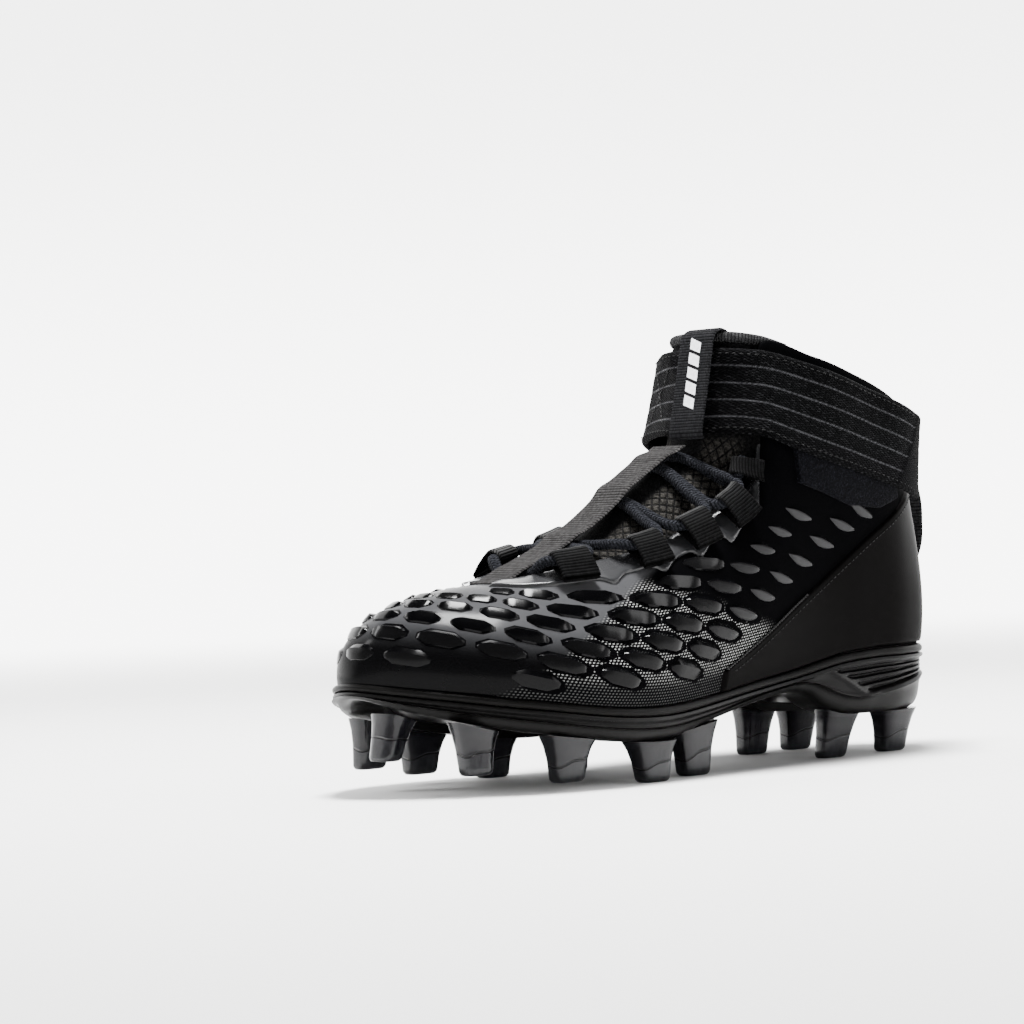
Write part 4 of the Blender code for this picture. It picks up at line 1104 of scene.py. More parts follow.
def foam_material():
    """The midsole band: satin foam with a printed dotted grain."""
    s = Shader("midsole_foam", (0.003, 0.003, 0.003), 0.4, Specular_IOR_Level=0.03)
    dots = s.use(DOTS, s.uv(), Pitch=0.9, Row=0.8, Slant=0.0)
    broad = s.noise(50, 3)
    s.colour(s.blend(broad, (0.002, 0.002, 0.002), (0.0055, 0.0052, 0.005)))
    s.rough(s.plus(s.times(broad, 0.2), 0.32))
    s.bump(dots["Height"], 0.05, 0.6)
    return s.mat


def stud_material():
    """Smoky moulded plastic: dark to a curved line, and clearer with fine streaks below it."""
    s = Shader("stud_plastic", (0.004, 0.004, 0.0045), 0.14, IOR=1.45, Specular_IOR_Level=0.16,
               Transmission_Weight=0.3)
    split = s.node("ShaderNodeSeparateXYZ")
    s.join(s.uv(), split.inputs[0])
    along, rise = split.outputs[0], split.outputs[1]
    bow = s.times(s.sine(s.times(along, 0.45)), 0.03)
    bow = s.plus(bow, s.times(along, -0.016))
    below = s.minus(s.minus(rise, bow), 0.5)
    tip = s.ramp(below, -0.012, 0.012, 1.0, 0.0)
    line = s.ramp(s.absolute(below), 0.008, 0.03, 1.0, 0.0)
    streak = s.node("ShaderNodeCombineXYZ")
    s.join(s.times(along, 0.7), streak.inputs[0])
    s.join(s.times(rise, 2.2), streak.inputs[1])
    cloud = s.noise(1.0, 3, vector=streak.outputs[0])
    smoke = s.blend(s.ramp(cloud, 0.35, 0.7), (0.003, 0.0032, 0.0046), (0.016, 0.0165, 0.0185))
    s.colour(s.blend(line, s.blend(tip, (0.0042, 0.0041, 0.0056), smoke), (0.0006, 0.0006, 0.0007)))
    s.rough(s.plus(s.times(cloud, 0.2), 0.08))
    first = s.bump(cloud, 0.2, 0.4)
    s.bump(line, -0.3, 1.0, under=first)
    return s.mat


def print_material():
    """Matte pale print."""
    s = Shader("pale_print", (0.75, 0.76, 0.78), 0.45)
    grain = s.noise(900, 3)
    s.colour(s.blend(s.ramp(grain, 0.3, 0.7), (0.62, 0.63, 0.66), (0.82, 0.83, 0.85)))
    s.rough(s.ramp(grain, 0, 1, 0.35, 0.55))
    s.bump(grain, 0.03, 0.6)
    return s.mat


def thread_material(name="thread", gain=1.0):
    """Sewing thread."""
    s = Shader(name, (0.01, 0.01, 0.011), 0.6, Specular_IOR_Level=0.05)
    twist = s.noise(3000, 1)
    s.colour(s.blend(twist, (0.004 * gain,) * 3, (0.022 * gain,) * 3))
    s.bump(twist, 0.05, 0.6)
    return s.mat


MATERIALS = {
    "film": film_material(),
    "cells": cell_material(),
    "counter": satin_material("counter_film", (0.0014, 0.0012, 0.0012), 0.45, level=0.009),
    "eyestay": satin_material("eyestay_film", (0.02, 0.0202, 0.0215), 0.2, grain=0.03, level=0.25),
    "webbing": web_material("webbing", (0.0085, 0.0085, 0.0091), 1.5, lift=0.35),
    "loop": web_material("loop_webbing", (0.0016, 0.0016, 0.0017), 1.35, lift=0.4, fold_highlight=(0.045,) * 3),
    "trim": web_material("trim_webbing", (0.016, 0.016, 0.0165), 1.3, lift=0.4),
    "tab": web_material("tab_webbing", (0.0058, 0.0058, 0.0064), 1.2, lift=0.32, across=0.4),
    "strip": web_material("centre_web", (0.0155, 0.0149, 0.0149), 1.6, lift=0.4, across=0.6),
    "elastic": elastic_material(),
    "lace": lace_material(),
    "tongue": tongue_material(),
    "lining": lining_material(),
    "pile": pile_material(),
    "plate": plate_material(),
    "foam": foam_material(),
    "stud": stud_material(),
    "print": print_material(),
    "thread": thread_material(),
    "edging": thread_material("edging", 2.2),
}


def piece(name, shape, material, nodes=(), uv=None, attributes=None, angle=40.0):
    """Adds a mesh piece that rides on the shoe and stands for the named CAD nodes."""
    points, faces = shape
    mesh = bpy.data.meshes.new(name)
    mesh.from_pydata(world(points).tolist(), [], [tuple(int(i) for i in face) for face in faces])
    mesh.materials.append(MATERIALS[material])
    if uv is not None:
        layer = mesh.uv_layers.new(name="UVMap")
        corner = np.empty(len(mesh.loops), np.int32)
        mesh.loops.foreach_get("vertex_index", corner)
        layer.data.foreach_set("uv", np.asarray(uv, np.float32)[corner].ravel())
    for label, values in (attributes or {}).items():
        data = mesh.attributes.new(label, "FLOAT", "POINT")
        data.data.foreach_set("value", np.asarray(values, np.float32))
    mesh.shade_smooth()
    mesh.set_sharp_from_angle(angle=np.radians(angle))
    mesh.update()
    obj = bpy.data.objects.new(name, mesh)
    bpy.context.scene.collection.objects.link(obj)
    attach(obj, ROOT)
    if nodes:
        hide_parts(*nodes)
    return obj


def paired(one, two):
    """Texture places, one for each point of a grid, from two arrays that spread over it."""
    return np.stack(np.broadcast_arrays(one, two), axis=-1).reshape(-1, 2)


def grid_faces(n, m, closed=False):
    """Quads of a grid of n by m points."""
    i, k = np.meshgrid(np.arange(n if closed else n - 1), np.arange(m - 1), indexing="ij")
    j = (i + 1) % n
    return np.stack([i * m + k, j * m + k, j * m + k + 1, i * m + k + 1], axis=-1).reshape(-1, 4)


def outward_sheet(grid, normals, closed=False):
    """An open sheet whose faces look along the given normals, in table units."""
    n, m = grid.shape[:2]
    faces = grid_faces(n, m, closed)
    p = world(grid).reshape(-1, 3)
    a, b, c = p[faces[:, 0]], p[faces[:, 1]], p[faces[:, 2]]
    face_normal = np.cross(b - a, c - a)
    want = normals.reshape(-1, 3)[faces[:, 0]] * [1, -1, 1]
    if (face_normal * want).sum() < 0:
        faces = faces[:, ::-1]
    return grid.reshape(-1, 3), faces


def joined(shapes):
    """Several shapes as one."""
    starts = np.cumsum([0] + [len(points) for points, _ in shapes])
    faces = [faces + start for (_, faces), start in zip(shapes, starts)]
    return np.concatenate([points for points, _ in shapes]), np.concatenate(faces)


def tube(grid, outward):
    """A sheet closed round its first index: points, faces, and whether its faces had to be turned."""
    points, quads = outward_sheet(grid, outward, closed=True)
    turned = (quads[0] != grid_faces(*grid.shape[:2], True)[0]).any()
    return points, [tuple(q) for q in quads], turned


def rungs(n):
    """Faces from side to side across a ring of n points."""
    half = n // 2
    middle = [(i, i + 1, n - i - 1, n - i) for i in range(1, half - 1)]
    return [(0, 1, n - 1)] + middle + [(half - 1, half, half + 1)]


def both(values):
    """Values for the front of a solid, given to its back as well."""
    return np.concatenate([values, values])


def sheet_solid(front, back):
    """A solid between two grids of points."""
    n, m = front.shape[:2]
    points = np.concatenate([front.reshape(-1, 3), back.reshape(-1, 3)])
    top = grid_faces(n, m)
    under = top[:, ::-1] + n * m
    edges = []
    spans = np.arange(n - 1)
    for k, turn in ((0, False), (m - 1, True)):
        a, b = spans * m + k, (spans + 1) * m + k
        quad = np.stack([a, n * m + a, n * m + b, b], axis=-1)
        edges.append(quad[:, ::-1] if turn else quad)
    rows = np.arange(m - 1)
    for i, turn in ((0, False), (n - 1, True)):
        a, b = i * m + rows, i * m + rows + 1
        quad = np.stack([b, n * m + b, n * m + a, a], axis=-1)
        edges.append(quad[:, ::-1] if turn else quad)
    faces = np.concatenate([top, under] + edges)
    p = world(points)
    a, b, c, d = (p[faces[:, i]] for i in range(4))
    volume = (a * np.cross(b, c)).sum() + (a * np.cross(c, d)).sum()
    return points, faces[:, ::-1] if volume < 0 else faces


def edge_steps(count, soft):
    """Shares from 0 to 1 with extra ones near both ends, for a rounded edge."""
    ends = np.array([0, 0.25, 0.6, 1.0]) * soft
    middle = np.linspace(soft, 1 - soft, max(count, 2))
    return np.concatenate([ends[:-1], middle, 1 - ends[:-1][::-1]])


def rounded(t, soft):
    """1 in the middle of a strip, falling as a quarter circle within soft of its ends."""
    d = np.clip(np.minimum(t, 1 - t) / max(soft, 1e-6), 0, 1)
    return np.sqrt(np.clip(1 - (1 - d) ** 2, 0, 1))


# The upper's shell.
RISES = np.linspace(0, 1, 121)


def rise_table(shares):
    """Length up the face from the feather edge at RISES, one row for each share."""
    rows = upper_point(shares[:, None], RISES)
    return run_up(rows)


SHARE_GRID = np.linspace(0, 1, 361)
RISE_GRID = rise_table(SHARE_GRID)


def v_at_rise(share, rise):
    """The v at a length up the face."""
    share = float(share) % 1.0
    k = share * (len(SHARE_GRID) - 1)
    i = int(k)
    row = RISE_GRID[i] * (1 - (k - i)) + RISE_GRID[min(i + 1, len(SHARE_GRID) - 1)] * (k - i)
    return float(np.interp(rise, row, RISES)), float(row[-1])


def smoothstep(x, a, b):
    """0 below a, 1 above b, and a smooth rise between them."""
    k = np.clip((np.asarray(x, float) - a) / (b - a), 0, 1)
    return k * k * (3 - 2 * k)


def masks(points, rise):
    """Film over the toe, dotted mesh on the sides of the forefoot, and the rest matte."""
    u, z = points[..., 1], points[..., 2]
    film = smoothstep(u + 1.9 * z, 333, 341)
    film = np.maximum(film, smoothstep(u, 262, 268)) * smoothstep(u, 150, 170)
    mesh = (1 - film) * smoothstep(17.6 + 0.33 * u - z, -4, 4) * smoothstep(u, 95, 105)
    return film, mesh * (0.13 + 0.87 * smoothstep(rise, 6, 15))


def make_shell(sites):
    """The upper's outer face, its rounded rim, and the lining inside, as two pieces."""
    columns = 460
    shares = np.linspace(0, 1, columns, endpoint=False)
    v = np.linspace(0, 1, 84)
    s, k = np.meshgrid(shares, v, indexing="ij")
    outer = upper_point(s, k)
    normal = upper_normal(s, k)
    rise = run_up(outer)
    wall = wall_at(shares, 1.0)
    lip = upper_point(shares, 1.0)
    lip_normal = upper_normal(shares, 1.0)
    inner_lip = lip - lip_normal * wall[:, None]
    up = unit(upper_point(shares, 1.0) - upper_point(shares, 0.98))
    arc = []
    for q in np.radians([30, 60, 90, 120, 150, 180]):
        centre = 0.5 * (lip + inner_lip)
        aside = lip_normal * (0.5 * wall * np.cos(q))[:, None]
        arc.append(centre + aside + up * (0.5 * wall * np.sin(q))[:, None])
    arc = np.stack(arc, axis=1)
    grid = np.concatenate([outer, arc], axis=1)
    m = grid.shape[1]
    full_rise = np.concatenate([rise, rise[:, -1:] + np.linspace(0.5, 3, m - rise.shape[1])], axis=1)
    film, mesh = masks(grid, full_rise)
    along = np.broadcast_to((shares * PERIMETER)[:, None], full_rise.shape)
    row, column = lattice_cell(along - 0.5 * PERIMETER, full_rise)
    held = {(site[0], site[1]) for site in sites}
    slots = np.array([pair in held for pair in zip(row.ravel().tolist(), column.ravel().tolist())])
    uv = paired(along, full_rise)
    normals = np.concatenate([normal, np.repeat(lip_normal[:, None], m - normal.shape[1], axis=1)], axis=1)
    shell = outward_sheet(grid, normals, closed=True)
    # The top mask rises up the face; the film uses it to paint a reflection onto its web towards the top of
    # the toe.
    piece(
        "upper_shell", shell, "film", ["upper"], uv,
        {"film": film.ravel(), "mesh": mesh.ravel(), "slots": slots,
         "top": smoothstep(full_rise, 14, 34).ravel()}, angle=60,
    )
    k = np.linspace(0.0, 1.0, 40)
    s, k = np.meshgrid(shares[::3], k, indexing="ij")
    inside = upper_offset(s, k, -wall_at(s, k))
    rise = run_up(inside)
    uv = paired((shares[::3] * PERIMETER)[:, None], rise)
    lining = outward_sheet(inside, -upper_normal(s, k), closed=True)
    piece("upper_lining", lining, "lining", uv=uv)


# Raised cells: rows that sink towards the heel, staggered, over the toe, vamp and sides.
def row_sink(x):
    """How far a row sinks at a distance from the toe tip along the perimeter."""
    return ROW_SINK * x * x


def cell_shape(leaf):
    """One cell as a small grid: along, across, height and row, from a hexagon (leaf 0) to a leaf (1)."""
    s = np.array([-1, -0.93, -0.78, -0.5, -0.2, 0.2, 0.5, 0.78, 0.93, 1.0])
    t = np.array([-1, -0.86, -0.45, 0.0, 0.34, 0.72, 1.0])
    a, b = np.meshgrid(s, t, indexing="ij")
    end = np.abs(a)
    half = np.where(end < 0.5, 1.0, 1 - (end - 0.5) / 0.5 * 0.7)
    half = half * (1 - leaf) + leaf * (1 - end ** 1.5 * 0.97)
    cap = np.clip((1 - end) / 0.3, 0, 1) ** 0.7
    ridge = np.where(b > 0.34, 1 - (b - 0.34) / 0.66, 1 - 0.55 * (0.34 - b) / 1.34)
    ridge = np.where(b <= -0.99, 0.0, np.where(b < -0.8, 0.42, ridge))
    return a, b * half, np.clip(ridge, 0, 1) * cap, b


def counter_line(u):
    """The height of the heel counter's upper edge at u."""
    return smooth(COUNTER_TOP, u)[..., 0]


def lattice_cell(x, rise):
    """Row and column of the lattice at a place along the toe's edge and up from the sole."""
    row = np.floor((rise - CELL_FOOT + row_sink(x)) / CELL_ROW + 0.5)
    column = np.floor(x / CELL_PITCH - 0.5 * np.mod(row, 2) + 0.5)
    return row.astype(int), column.astype(int)


# Where raised cells may lie: how far they stay from the sole on the sides and at the toe, from the upper's
# top edge, above the heel counter and away from the throat, and how far two neighbours may be squeezed.
CLEAR_SIDE = 7.0
CLEAR_TOE = 11.5
CLEAR_TOP = 6
CLEAR_COUNTER = 6
CLEAR_THROAT = 15.5
LEAST_ROOM = 0.42
TOE_START = 255
# Behind this u and above this z the ankle stays plain.
PLAIN_ANKLE = (122, 106)


def cell_sites():
    """Where the raised cells are: row, column and place of each."""
    sites = []
    count = int(0.5 * PERIMETER / CELL_PITCH) + 1
    for row in range(-2, 34):
        for column in range(-count, count + 1):
            x = (column + 0.5 * (row % 2)) * CELL_PITCH
            share = 0.5 + x / PERIMETER
            if not 0.02 < share < 0.98:
                continue
            rise = CELL_FOOT + row * CELL_ROW - row_sink(x)
            v, whole = v_at_rise(share, rise)
            foot = outline(share)
            limit = CLEAR_SIDE if foot[1] < TOE_START else CLEAR_TOE
            if rise < limit or rise > whole - CLEAR_TOP:
                continue
            centre = upper_point(share, v)
            low = counter_line(min(foot[1], COUNTER_FRONT)) + CLEAR_COUNTER
            if centre[2] < low and foot[1] < COUNTER_FRONT + 8:
                continue
            if centre[1] < PLAIN_ANKLE[0] and centre[2] > PLAIN_ANKLE[1]:
                continue
            if np.linalg.norm(THROAT_LINES[centre[0] > 0] - centre, axis=1).min() < CLEAR_THROAT:
                continue
            ahead = upper_point(share + 0.004, v_at_rise(share + 0.004, rise)[0])
            behind = upper_point(share - 0.004, v_at_rise(share - 0.004, rise)[0])
            squeeze = np.linalg.norm(ahead - behind) / (0.008 * PERIMETER)
            if squeeze < LEAST_ROOM:
                continue
            sites.append((row, column, x, share, v, rise, limit, centre, ahead - behind, squeeze))
    return sites


def make_cells(sites):
    """All raised cells as one mesh."""
    quads = grid_faces(*cell_shape(0)[0].shape)
    cells, facet_grey_and_reflection = [], []
    for _, _, x, share, v, rise, limit, centre, along, squeeze in sites:
        back = float(smoothstep(abs(x), 150, 225))
        size = np.clip(squeeze, 0.5, 1.0) * (1 - 0.2 * back)
        a, b, h, t = cell_shape(back)
        normal = upper_normal(share, v)
        along = unit(along * np.sign(x if x else 1))
        up = upper_point(share, min(v + 0.01, 1)) - upper_point(share, v - 0.01)
        up = unit(up - normal * np.dot(up, normal))
        axis = unit(along - up * (2 * ROW_SINK * abs(x) + 0.12 * back))
        across = unit(up - axis * np.dot(up, axis))
        low = smoothstep(rise, limit, limit + 9)
        high = CELL_HIGH * (0.55 + 0.45 * low) * (1 - 0.25 * back) * size
        wide = CELL_WIDE * (size + 0.65 * (1 - size)) * (1 - 0.22 * back)
        flat = centre + axis * (a * CELL_LONG * size)[..., None] + across * (b * wide)[..., None]
        on, out = snapped_many(flat.reshape(-1, 3))
        cells.append((on + out * (h.ravel() * high - 0.25)[:, None], quads))
        # Marks the lower facets towards the heel for their pale colour, partly a painted reflection of the
        # floor.
        facet_grey_and_reflection.append(((t < 0.34) * back).ravel())
    points, faces = joined(cells)
    p = world(points)
    cross = np.cross(p[faces[:, 1]] - p[faces[:, 0]], p[faces[:, 2]] - p[faces[:, 0]])
    want = snapped_many(points[faces[:1, 0]])[1] * [1, -1, 1]
    if (cross[:1] * want).sum() < 0:
        faces = faces[:, ::-1]
    piece("upper_cells", (points, faces), "cells",
          attributes={"facet_grey_and_reflection": np.concatenate(facet_grey_and_reflection)}, angle=28)


THROAT_LINES = {side: throat_point(np.linspace(0, 1, 160), side) for side in SIDES}


def fine_net():
    """A denser net of the whole upper, for laying small pieces on it: points, normals, search tree."""
    share, v = np.meshgrid(np.linspace(0, 1, 620, endpoint=False), np.linspace(0, 1, 150), indexing="ij")
    points = upper_point(share, v).reshape(-1, 3)
    tree = kdtree.KDTree(len(points))
    for i, q in enumerate(points):
        tree.insert(q, i)
    tree.balance()
    return points, upper_normal(share, v).reshape(-1, 3), tree


FINE_POINTS, FINE_NORMALS, FINE_TREE = fine_net()


def snapped_many(points):
    """Points moved onto the upper's face, with its normals there."""
    near = np.array([FINE_TREE.find(q)[1] for q in points])
    normal = FINE_NORMALS[near]
    off = ((points - FINE_POINTS[near]) * normal).sum(axis=1)
    return points - normal * off[:, None], normal


def round_heel(front, count):
    """Shares of the foot from the inner side round the heel to the outer side, as far forward as front."""
    return np.linspace(share_at(front, False) - 1, share_at(front, True), count)


def along_side(rear, front, side, count):
    """Rising shares of the foot along one side between two u."""
    ends = sorted([share_at(rear, side), share_at(front, side)])
    return np.linspace(ends[0], ends[1], count)


# How far the rim of a thin skin is sunk into the upper.
RIM_SUNK = 0.4


def overlay_sheet(name, shares, low, high, rows, out, thick, material, node, soft):
    """A thin skin on the upper with a soft edge all round."""
    t = edge_steps(rows, soft)
    v = low[:, None] + (high - low)[:, None] * t
    ends = rounded(np.linspace(0, 1, len(shares)), 1.5 / len(shares))
    lift = out + thick * rounded(t, soft)[None, :] * ends[:, None]
    lift[:, [0, -1]] = -RIM_SUNK
    lift[[0, -1]] = -RIM_SUNK
    grid = upper_offset(shares[:, None], v, lift)
    uv = paired((np.mod(shares + 0.5, 1.0) * PERIMETER)[:, None], run_up(grid))
    sheet = outward_sheet(grid, upper_normal(shares[:, None], v))
    piece(name, sheet, material, [node], uv, angle=50)


def make_counter():
    """The heel counter's film, round the heel."""
    shares = round_heel(COUNTER_FRONT, 220)
    u = outline(shares)[:, 1]
    high = v_at_height(shares, counter_line(u))
    low = np.full(len(shares), 0.004)
    overlay_sheet("counter_skin", shares, low, high, 30, 0.3, 1.25, "counter", "heel_counter",
                  soft=0.035)


# The film along the throat: its shares of the edge, its depth, and its fingers' extra depth and half width.
EYESTAY_ENDS = (0.02, 0.79)
EYESTAY_DEPTH = 11.5
FINGER_DEPTH = 5.5
FINGER_HALF = 4.0


def make_eyestay(side):
    """Glossy film along the throat, with fingers that reach down between the cells."""
    places = np.linspace(*EYESTAY_ENDS, 150)
    shares = throat_share(places, side)
    order = np.argsort(shares)
    shares = shares[order]
    places = places[order]
    edge = THROAT_LINES[side][::2]
    v = np.linspace(0.3, 1.0, 60)
    face = upper_point(shares[:, None], v)
    gap = np.sqrt(((face[:, :, None] - edge) ** 2).sum(axis=3)).min(axis=2)
    finger = np.max([np.exp(-(((places - 0.5 * (p + q)) * THROAT[side][2] / FINGER_HALF) ** 2))
                     for p, q in zip(LOOP_PLACES, LOOP_PLACES[1:])], axis=0)
    depth = EYESTAY_DEPTH + FINGER_DEPTH * finger
    low = np.array([np.interp(-d, -g, v) for d, g in zip(depth, gap)])
    low = evened(low, 10)
    high = np.array([np.interp(-0.8, -g, v) for g in gap])
    name = SIDES[side]
    overlay_sheet(f"eyestay_film_{name}", shares, low, high, 12, 0.35, 1.1, "eyestay", f"eyestay_{name}",
                  soft=0.1)


# The loop patch's lower edge under the strap: u, then z.
PATCH_FOOT = ([36, 50, 70, 100], [109, 105, 106.5, 117])


def make_patch():
    """The loop patch under the strap's free end."""
    shares = along_side(PATCH_FOOT[0][0], PATCH_FOOT[0][-1], True, 90)
    u = outline(shares)[:, 1]
    low = v_at_height(shares, np.interp(u, *PATCH_FOOT))
    high = v_at_height(shares, smooth(STRAP_EDGES, u)[:, 0] + 6)
    overlay_sheet("strap_pile", shares, low, high, 24, 0.3, 1.5, "pile", "strap_loop_patch",
                  soft=0.06)


# How thick the tongue's padding is.
TONGUE_PAD = 2.6


def make_tongue():
    """The padded tongue, with rounded edges and a honeycomb knit under the lacing."""
    columns = 49
    middle = columns // 2
    face, normal = tongue_face(9, columns)
    t = np.linspace(0, 1, columns)
    k = np.linspace(0, 1, face.shape[0])
    body = rounded(t, 0.05)[None, :] * rounded(k, 0.02)[:, None]
    front = face - normal * (1.2 * (1 - body))[..., None]
    back = front - normal * np.maximum(TONGUE_PAD * body, 0.1)[..., None]
    along = run_of(face)
    across = run_up(face)
    across = across - across[:, middle, None]
    uv = paired(across, along[:, middle, None])
    z = face[..., 2]
    comb = smoothstep(np.abs(face[..., 0]), 9, 11) * (1 - smoothstep(z, 134, 138)) * smoothstep(z, 86, 89)
    comb = comb * (1 - smoothstep(np.abs(face[..., 0]), 20, 24))
    combed = np.concatenate([comb.ravel(), 0 * comb.ravel()])
    tongue = piece(
        "tongue_body", sheet_solid(front, back), "tongue", ["tongue"],
        both(uv), {"comb": combed}, angle=50,
    )
    edge = resample(face[0] + [0, 0, 0.6], 160)
    grid, uv, normals = oval_tube(edge, 1.9, 2.3, lean=np.broadcast_to([0, 0, 1.0], edge.shape))
    piece("tongue_edge", outward_sheet(grid, normals), "trim", (), uv, angle=80)


def between_levels(grid, levels):
    """A grid with its second index resampled evenly to more levels."""
    known = np.linspace(0, 1, grid.shape[1])
    at = np.linspace(0, 1, levels)
    cell = np.clip(np.searchsorted(known, at, side="right") - 1, 0, len(known) - 2)
    part = ((at - known[cell]) / (known[1] - known[0]))[None, :, None]
    return grid[:, cell] * (1 - part) + grid[:, cell + 1] * part


# The strap's thin lines as shares of its height, and the length of the tape at its end.
STRAP_LINES = [0.2, 0.4, 0.6, 0.8]
STRAP_TAPE = 14.0


def make_strap():
    """The elastic ankle strap: five woven bands between thin shiny lines, with a bound end."""
    count, levels = 190, 61
    inside = between_levels(strap_face(0.0, count, 9), levels)
    outside = between_levels(strap_face(STRAP_THICK, count, 9), levels)
    t = np.linspace(0, 1, levels)
    turn = np.linspace(0, 1, count)
    along = run_of(outside)
    near = np.abs(t[:, None] - STRAP_LINES).min(axis=1)
    swell = 0.5 * smoothstep(near, 0.0, 0.05)
    edge = rounded(t, 0.05)
    total = along[-1].mean()
    tape = 1 - smoothstep(total - along, STRAP_TAPE, STRAP_TAPE + 1)
    direction = unit(outside - inside)
    end = rounded(turn, 0.006)[:, None]
    lift = (0.25 * swell + 0.5 * tape)[..., None]
    middle = 0.5 * (inside + outside)
    half = 0.5 * np.linalg.norm(outside - inside, axis=-1)[..., None] * (edge * end)[..., None]
    front = middle + direction * np.maximum(half + lift * (edge * end)[..., None], 0.05)
    back = middle - direction * np.maximum(half, 0.05)
    up = run_up(outside)
    uv = paired(along, up)
    line = (1 - smoothstep(near, 0.003, 0.01))[None, :] * (1 - tape)
    dashes = smoothstep(np.sin(along * 2 * np.pi / 2.6), -0.9, -0.4)
    line = line * (0.35 + 0.65 * dashes)
    strap = piece(
        "strap_band", sheet_solid(front, back), "elastic", ["ankle_strap"], both(uv),
        {"line": both(line.ravel()), "tape": both(tape.ravel())}, angle=60,
    )
    return outside, direction


def tape_solid(path, side, width, thick, columns=11):
    """A band along a path with rounded edges: side is its direction across."""
    path = np.array(path, float)
    side = np.broadcast_to(np.array(side, float), path.shape)
    along = np.gradient(path, axis=0)
    out = unit(np.cross(side, along))
    soft = 0.09
    t = edge_steps(columns, soft)
    ends = rounded(np.linspace(0, 1, len(path)), 1.5 / len(path))
    body = rounded(t, soft)[None, :] * np.maximum(ends, 0.12)[:, None]
    width = np.broadcast_to(width, (len(path),))
    across = (t - 0.5)[None, :] * width[:, None]
    middle = path[:, None] + side[:, None] * across[..., None] + out[:, None] * (0.5 * thick)
    half = 0.5 * abs(thick) * body
    sign = np.sign(thick)
    front = middle + out[:, None] * (sign * half)[..., None]
    back = middle - out[:, None] * (sign * half)[..., None]
    uv = paired(run_of(path)[:, None], across + 0.5 * width.mean())
    return sheet_solid(front, back), both(uv)


# How far the centre webbing dips at its front end.
STRIP_DIP = 2.6


def make_strip():
    """The centre webbing, which rises and widens over each crossing of the lace."""
    line = resample([(0, u, z) for u, z in STRIP_LINE], 110)
    slope = unit(np.gradient(line, axis=0))
    out = np.cross(slope, [1.0, 0, 0])
    out = np.where(out[:, 2:] < 0, -out, out)
    swell = np.zeros(len(line))
    for k in range(len(LOOP_PLACES) - 1):
        place = crossing(k, k + 1)
        swell += np.exp(-(((line[:, 1] - place[1]) / 4.2) ** 2))
    path = line + out * (swell - 0.35)[:, None]
    path[:, 2] -= STRIP_DIP * smoothstep(path[:, 1], 222, 236)
    shape, uv = tape_solid(path, (1, 0, 0), STRIP_WIDTH + 1.4 * swell - 0.7, STRIP_THICK, columns=21)
    tape = piece("centre_web", shape, "strip", ["centre_webbing"], uv, angle=50)


def make_front_tab():
    """The pull tab in front, folded over the top of the tongue."""
    path = resample(FRONT_TAB, 90)
    shape, uv = tape_solid(path, (1, 0, 0), TAB_WIDTH, 1.4, columns=15)
    tape = piece("front_tab", shape, "tab", ["front_pull_tab"], uv, angle=50)
    add_bars(path)


BAR_COUNT = 5
BAR_STEP = 6.1
BAR_HIGH = 4.6
BAR_HALF = 3.1
BAR_SLANT = 0.35


def add_bars(path):
    """Five plain slanting bars printed down the tab."""
    run = run_of(path)
    along = unit(np.gradient(path, axis=0))
    out = np.cross([1.0, 0, 0], along)
    bars = []
    for bar in range(BAR_COUNT):
        low = run[-1] * 0.36 + bar * BAR_STEP
        rows = []
        for t in np.linspace(0, BAR_HIGH, 7):
            row = []
            for x in np.linspace(-BAR_HALF, BAR_HALF, 7):
                at = low + t + BAR_SLANT * x
                centre = np.array([np.interp(at, run, path[:, i]) for i in range(3)])
                normal = np.array([np.interp(at, run, out[:, i]) for i in range(3)])
                row.append(centre + [x + 0.4, 0, 0] + normal * 1.62)
            rows.append(row)
        grid = np.array(rows)
        bars.append(outward_sheet(grid, np.broadcast_to(normal, grid.shape)))
    piece("tab_bars", joined(bars), "print")


def make_heel_loop():
    """The pull loop behind the heel."""
    on_heel = []
    for z in HEEL_TAB_TOP + HEEL_TAB_FOOT:
        off = GAP + 0.15 if z > COUNTER_TOP[0][1] else GAP + 0.7 + OVERLAY
        on_heel.append(upper_offset(0.0, v_at_height(np.array(0.0), z), off))
    free = [(0, u, z) for u, z in HEEL_TAB]
    path = resample(on_heel[:2] + free + on_heel[2:], 80)
    shape, uv = tape_solid(path, (1, 0, 0), HEEL_TAB_WIDTH, -1.7)
    tape = piece("heel_loop", shape, "webbing", ["heel_pull_loop"], uv, angle=50)


